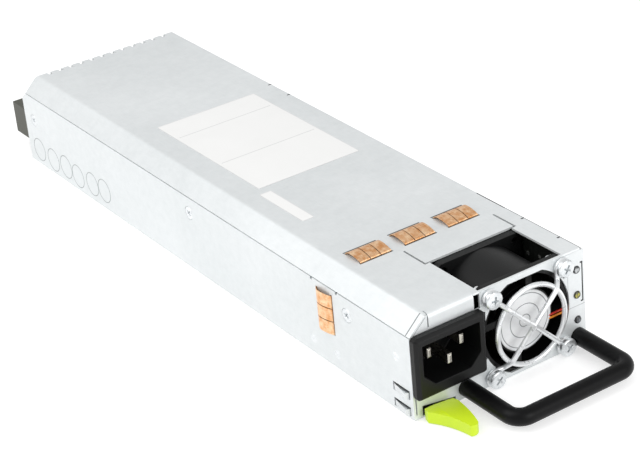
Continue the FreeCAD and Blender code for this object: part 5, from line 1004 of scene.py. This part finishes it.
class SUPPLY_OT_labels(bpy.types.Operator):
    """Lay the bare labels and the printed rings on the case"""

    bl_idname = "supply.labels"
    bl_label = "Labels"

    def execute(self, context):
        sizes = context.scene.supply_labels
        sheets = (
            ("main_label", sizes.main_left, sizes.main_width, sizes.main_front, sizes.main_length,
             (0.2, 0.62)),
            ("strip_label", sizes.strip_left, sizes.strip_width, sizes.strip_front, sizes.strip_length, ()))
        for name, left, width, front, along, shares in sheets:
            low = Vector((left, front, TOP_Z))
            high = Vector((left + width, front + along, TOP_Z + sizes.thick))
            first, last = low.x + sizes.margin, high.x - sizes.margin
            rules = [(high.y - along * share, first, last) for share in shares]
            mesh = card(name, low, high, sizes.corner)
            mesh.materials.append(paper(name + "_paper", low, high, rules))
            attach(linked(name, mesh), ROOT)
        centres = [(WALL_X, y * MM, z * MM) for y, z in RING_CENTRES]
        made = with_tree(
            "printed_rings", centres, ring_tree(), radius=sizes.ring_radius, line=sizes.ring_line,
            relief=sizes.ring_relief, finish=finish("ring_ink"))
        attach(made, ROOT)
        return {"FINISHED"}


class SUPPLY_OT_stage(bpy.types.Operator):
    """Set the floor, the lamps, the room and the camera"""

    bl_idname = "supply.stage"
    bl_label = "Stage"

    def floor_finish(self, strength):
        """A white ground that keeps the shadow but shows white to the camera and in reflections."""
        made = Finish("stage_white")
        seen = made.node("ShaderNodeLightPath", output="Is Camera Ray")
        mirrored = made.node("ShaderNodeLightPath", output="Is Glossy Ray")
        through = made.node("ShaderNodeLightPath", output="Is Transmission Ray")
        speckle = made.noise(3.0 * MM, 2.0)
        matt = made.node("ShaderNodeBsdfDiffuse", None, {
            "Color": made.mix(speckle, colour("D2D2D2"), colour("D8D8D8"))}, "BSDF")
        glow = made.node("ShaderNodeEmission", None, {
            "Color": colour("FFFFFF"), "Strength": seen.most(mirrored).most(through) * strength}, "Emission")
        both = made.node("ShaderNodeAddShader", None, {0: matt, 1: glow})
        made.node("ShaderNodeOutputMaterial", None, {"Surface": both})
        return made.material

    def room(self, strength):
        """Even light all round, white to the camera."""
        world = bpy.data.worlds.new("studio")
        world.use_nodes = True
        world.node_tree.nodes.clear()
        graph = Graph(world.node_tree)
        seen = graph.node("ShaderNodeLightPath", output="Is Camera Ray")
        through = graph.node("ShaderNodeLightPath", output="Is Transmission Ray")
        ground = graph.node("ShaderNodeBackground", None, {
            "Color": colour("FFFFFF"), "Strength": seen.most(through) * (1.0 - strength) + strength})
        graph.node("ShaderNodeOutputWorld", None, {"Surface": ground})
        bpy.context.scene.world = world

    def lamp(self, name, watts, size, place, aim):
        """A soft square area lamp."""
        light = bpy.data.lights.new(name, "AREA")
        light.energy = watts
        light.size = size
        thing = linked(name, light)
        thing.location = place
        thing.rotation_euler = (aim - Vector(place)).to_track_quat("-Z", "Y").to_euler()

    def floor(self, sizes, middle, foot):
        """A wide ground just under the case."""
        work = bmesh.new()
        bmesh.ops.create_grid(work, x_segments=8, y_segments=8, size=sizes.floor_size)
        for corner in work.verts:
            corner.co += Vector((middle.x, middle.y, foot - sizes.floor_gap))
        mesh = to_mesh("floor", work)
        mesh.materials.append(self.floor_finish(sizes.glow))
        linked("floor", mesh)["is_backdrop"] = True

    def camera(self, sizes):
        """A camera set by its angles and by where it sees the lower left corner of the face."""
        turn, tilt, roll = sizes.azimuth, sizes.elevation, sizes.roll
        back = Vector((math.sin(turn) * math.cos(tilt), -math.cos(turn) * math.cos(tilt), math.sin(tilt)))
        level = (-back).cross(Vector((0, 0, 1))).normalized()
        upright = level.cross(-back)
        across = level * math.cos(roll) + upright * math.sin(roll)
        rise = upright * math.cos(roll) - level * math.sin(roll)
        right, up, away = sizes.shift
        data = bpy.data.cameras.new("studio_camera")
        data.sensor_width = 36.0
        data.lens = sizes.lens
        data.clip_start = 0.02
        data.clip_end = 20.0
        camera = linked("studio_camera", data)
        camera.matrix_world = Matrix((across, rise, back)).transposed().to_4x4()
        corner = Vector((WALL_X, FACE_Y, TRAY_LOW.z))
        camera.location = corner - across * right - rise * up + back * away
        bpy.context.scene.camera = camera

    def execute(self, context):
        sizes = context.scene.supply_stage
        low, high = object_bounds()
        middle = (low + high) / 2
        self.floor(sizes, middle, low.z)
        self.room(sizes.world)
        self.lamp("key", sizes.key, sizes.key_size, sizes.key_place, middle)
        aim = Vector((0, FACE_Y, 0)) + Vector(sizes.fill_aim)
        self.lamp("face", sizes.fill, sizes.fill_size, sizes.fill_place, aim)
        self.camera(sizes)
        context.scene.view_settings.view_transform = "Standard"
        return {"FINISHED"}


GROUPS = {"supply_labels": SupplyLabels, "supply_screws": SupplyScrews, "supply_stage": SupplyStage}

OPERATORS = (
    SUPPLY_OT_stage, SUPPLY_OT_sheet_metal, SUPPLY_OT_clips, SUPPLY_OT_screws, SUPPLY_OT_inlet,
    SUPPLY_OT_fan, SUPPLY_OT_handle, SUPPLY_OT_latch, SUPPLY_OT_lamps, SUPPLY_OT_electronics,
    SUPPLY_OT_connector, SUPPLY_OT_labels)


class SUPPLY_PT_panel(bpy.types.Panel):
    """Lists the steps that finish the power supply"""

    bl_label = "Power supply"
    bl_idname = "SUPPLY_PT_panel"
    bl_space_type = "VIEW_3D"
    bl_region_type = "UI"
    bl_category = "Supply"

    def draw(self, context):
        for operator in OPERATORS:
            self.layout.operator(operator.bl_idname)
        for group, kind in GROUPS.items():
            for name in kind.__annotations__:
                self.layout.prop(getattr(context.scene, group), name)


def register():
    for made in (*GROUPS.values(), *OPERATORS, SUPPLY_PT_panel):
        bpy.utils.register_class(made)
    for name, group in GROUPS.items():
        setattr(bpy.types.Scene, name, bpy.props.PointerProperty(type=group))


def unregister():
    for name in GROUPS:
        delattr(bpy.types.Scene, name)
    for made in reversed((*GROUPS.values(), *OPERATORS, SUPPLY_PT_panel)):
        bpy.utils.unregister_class(made)


def main():
    register()
    for operator in OPERATORS:
        group, name = operator.bl_idname.split(".")
        getattr(getattr(bpy.ops, group), name)()


if __name__ == "__main__":
    main()
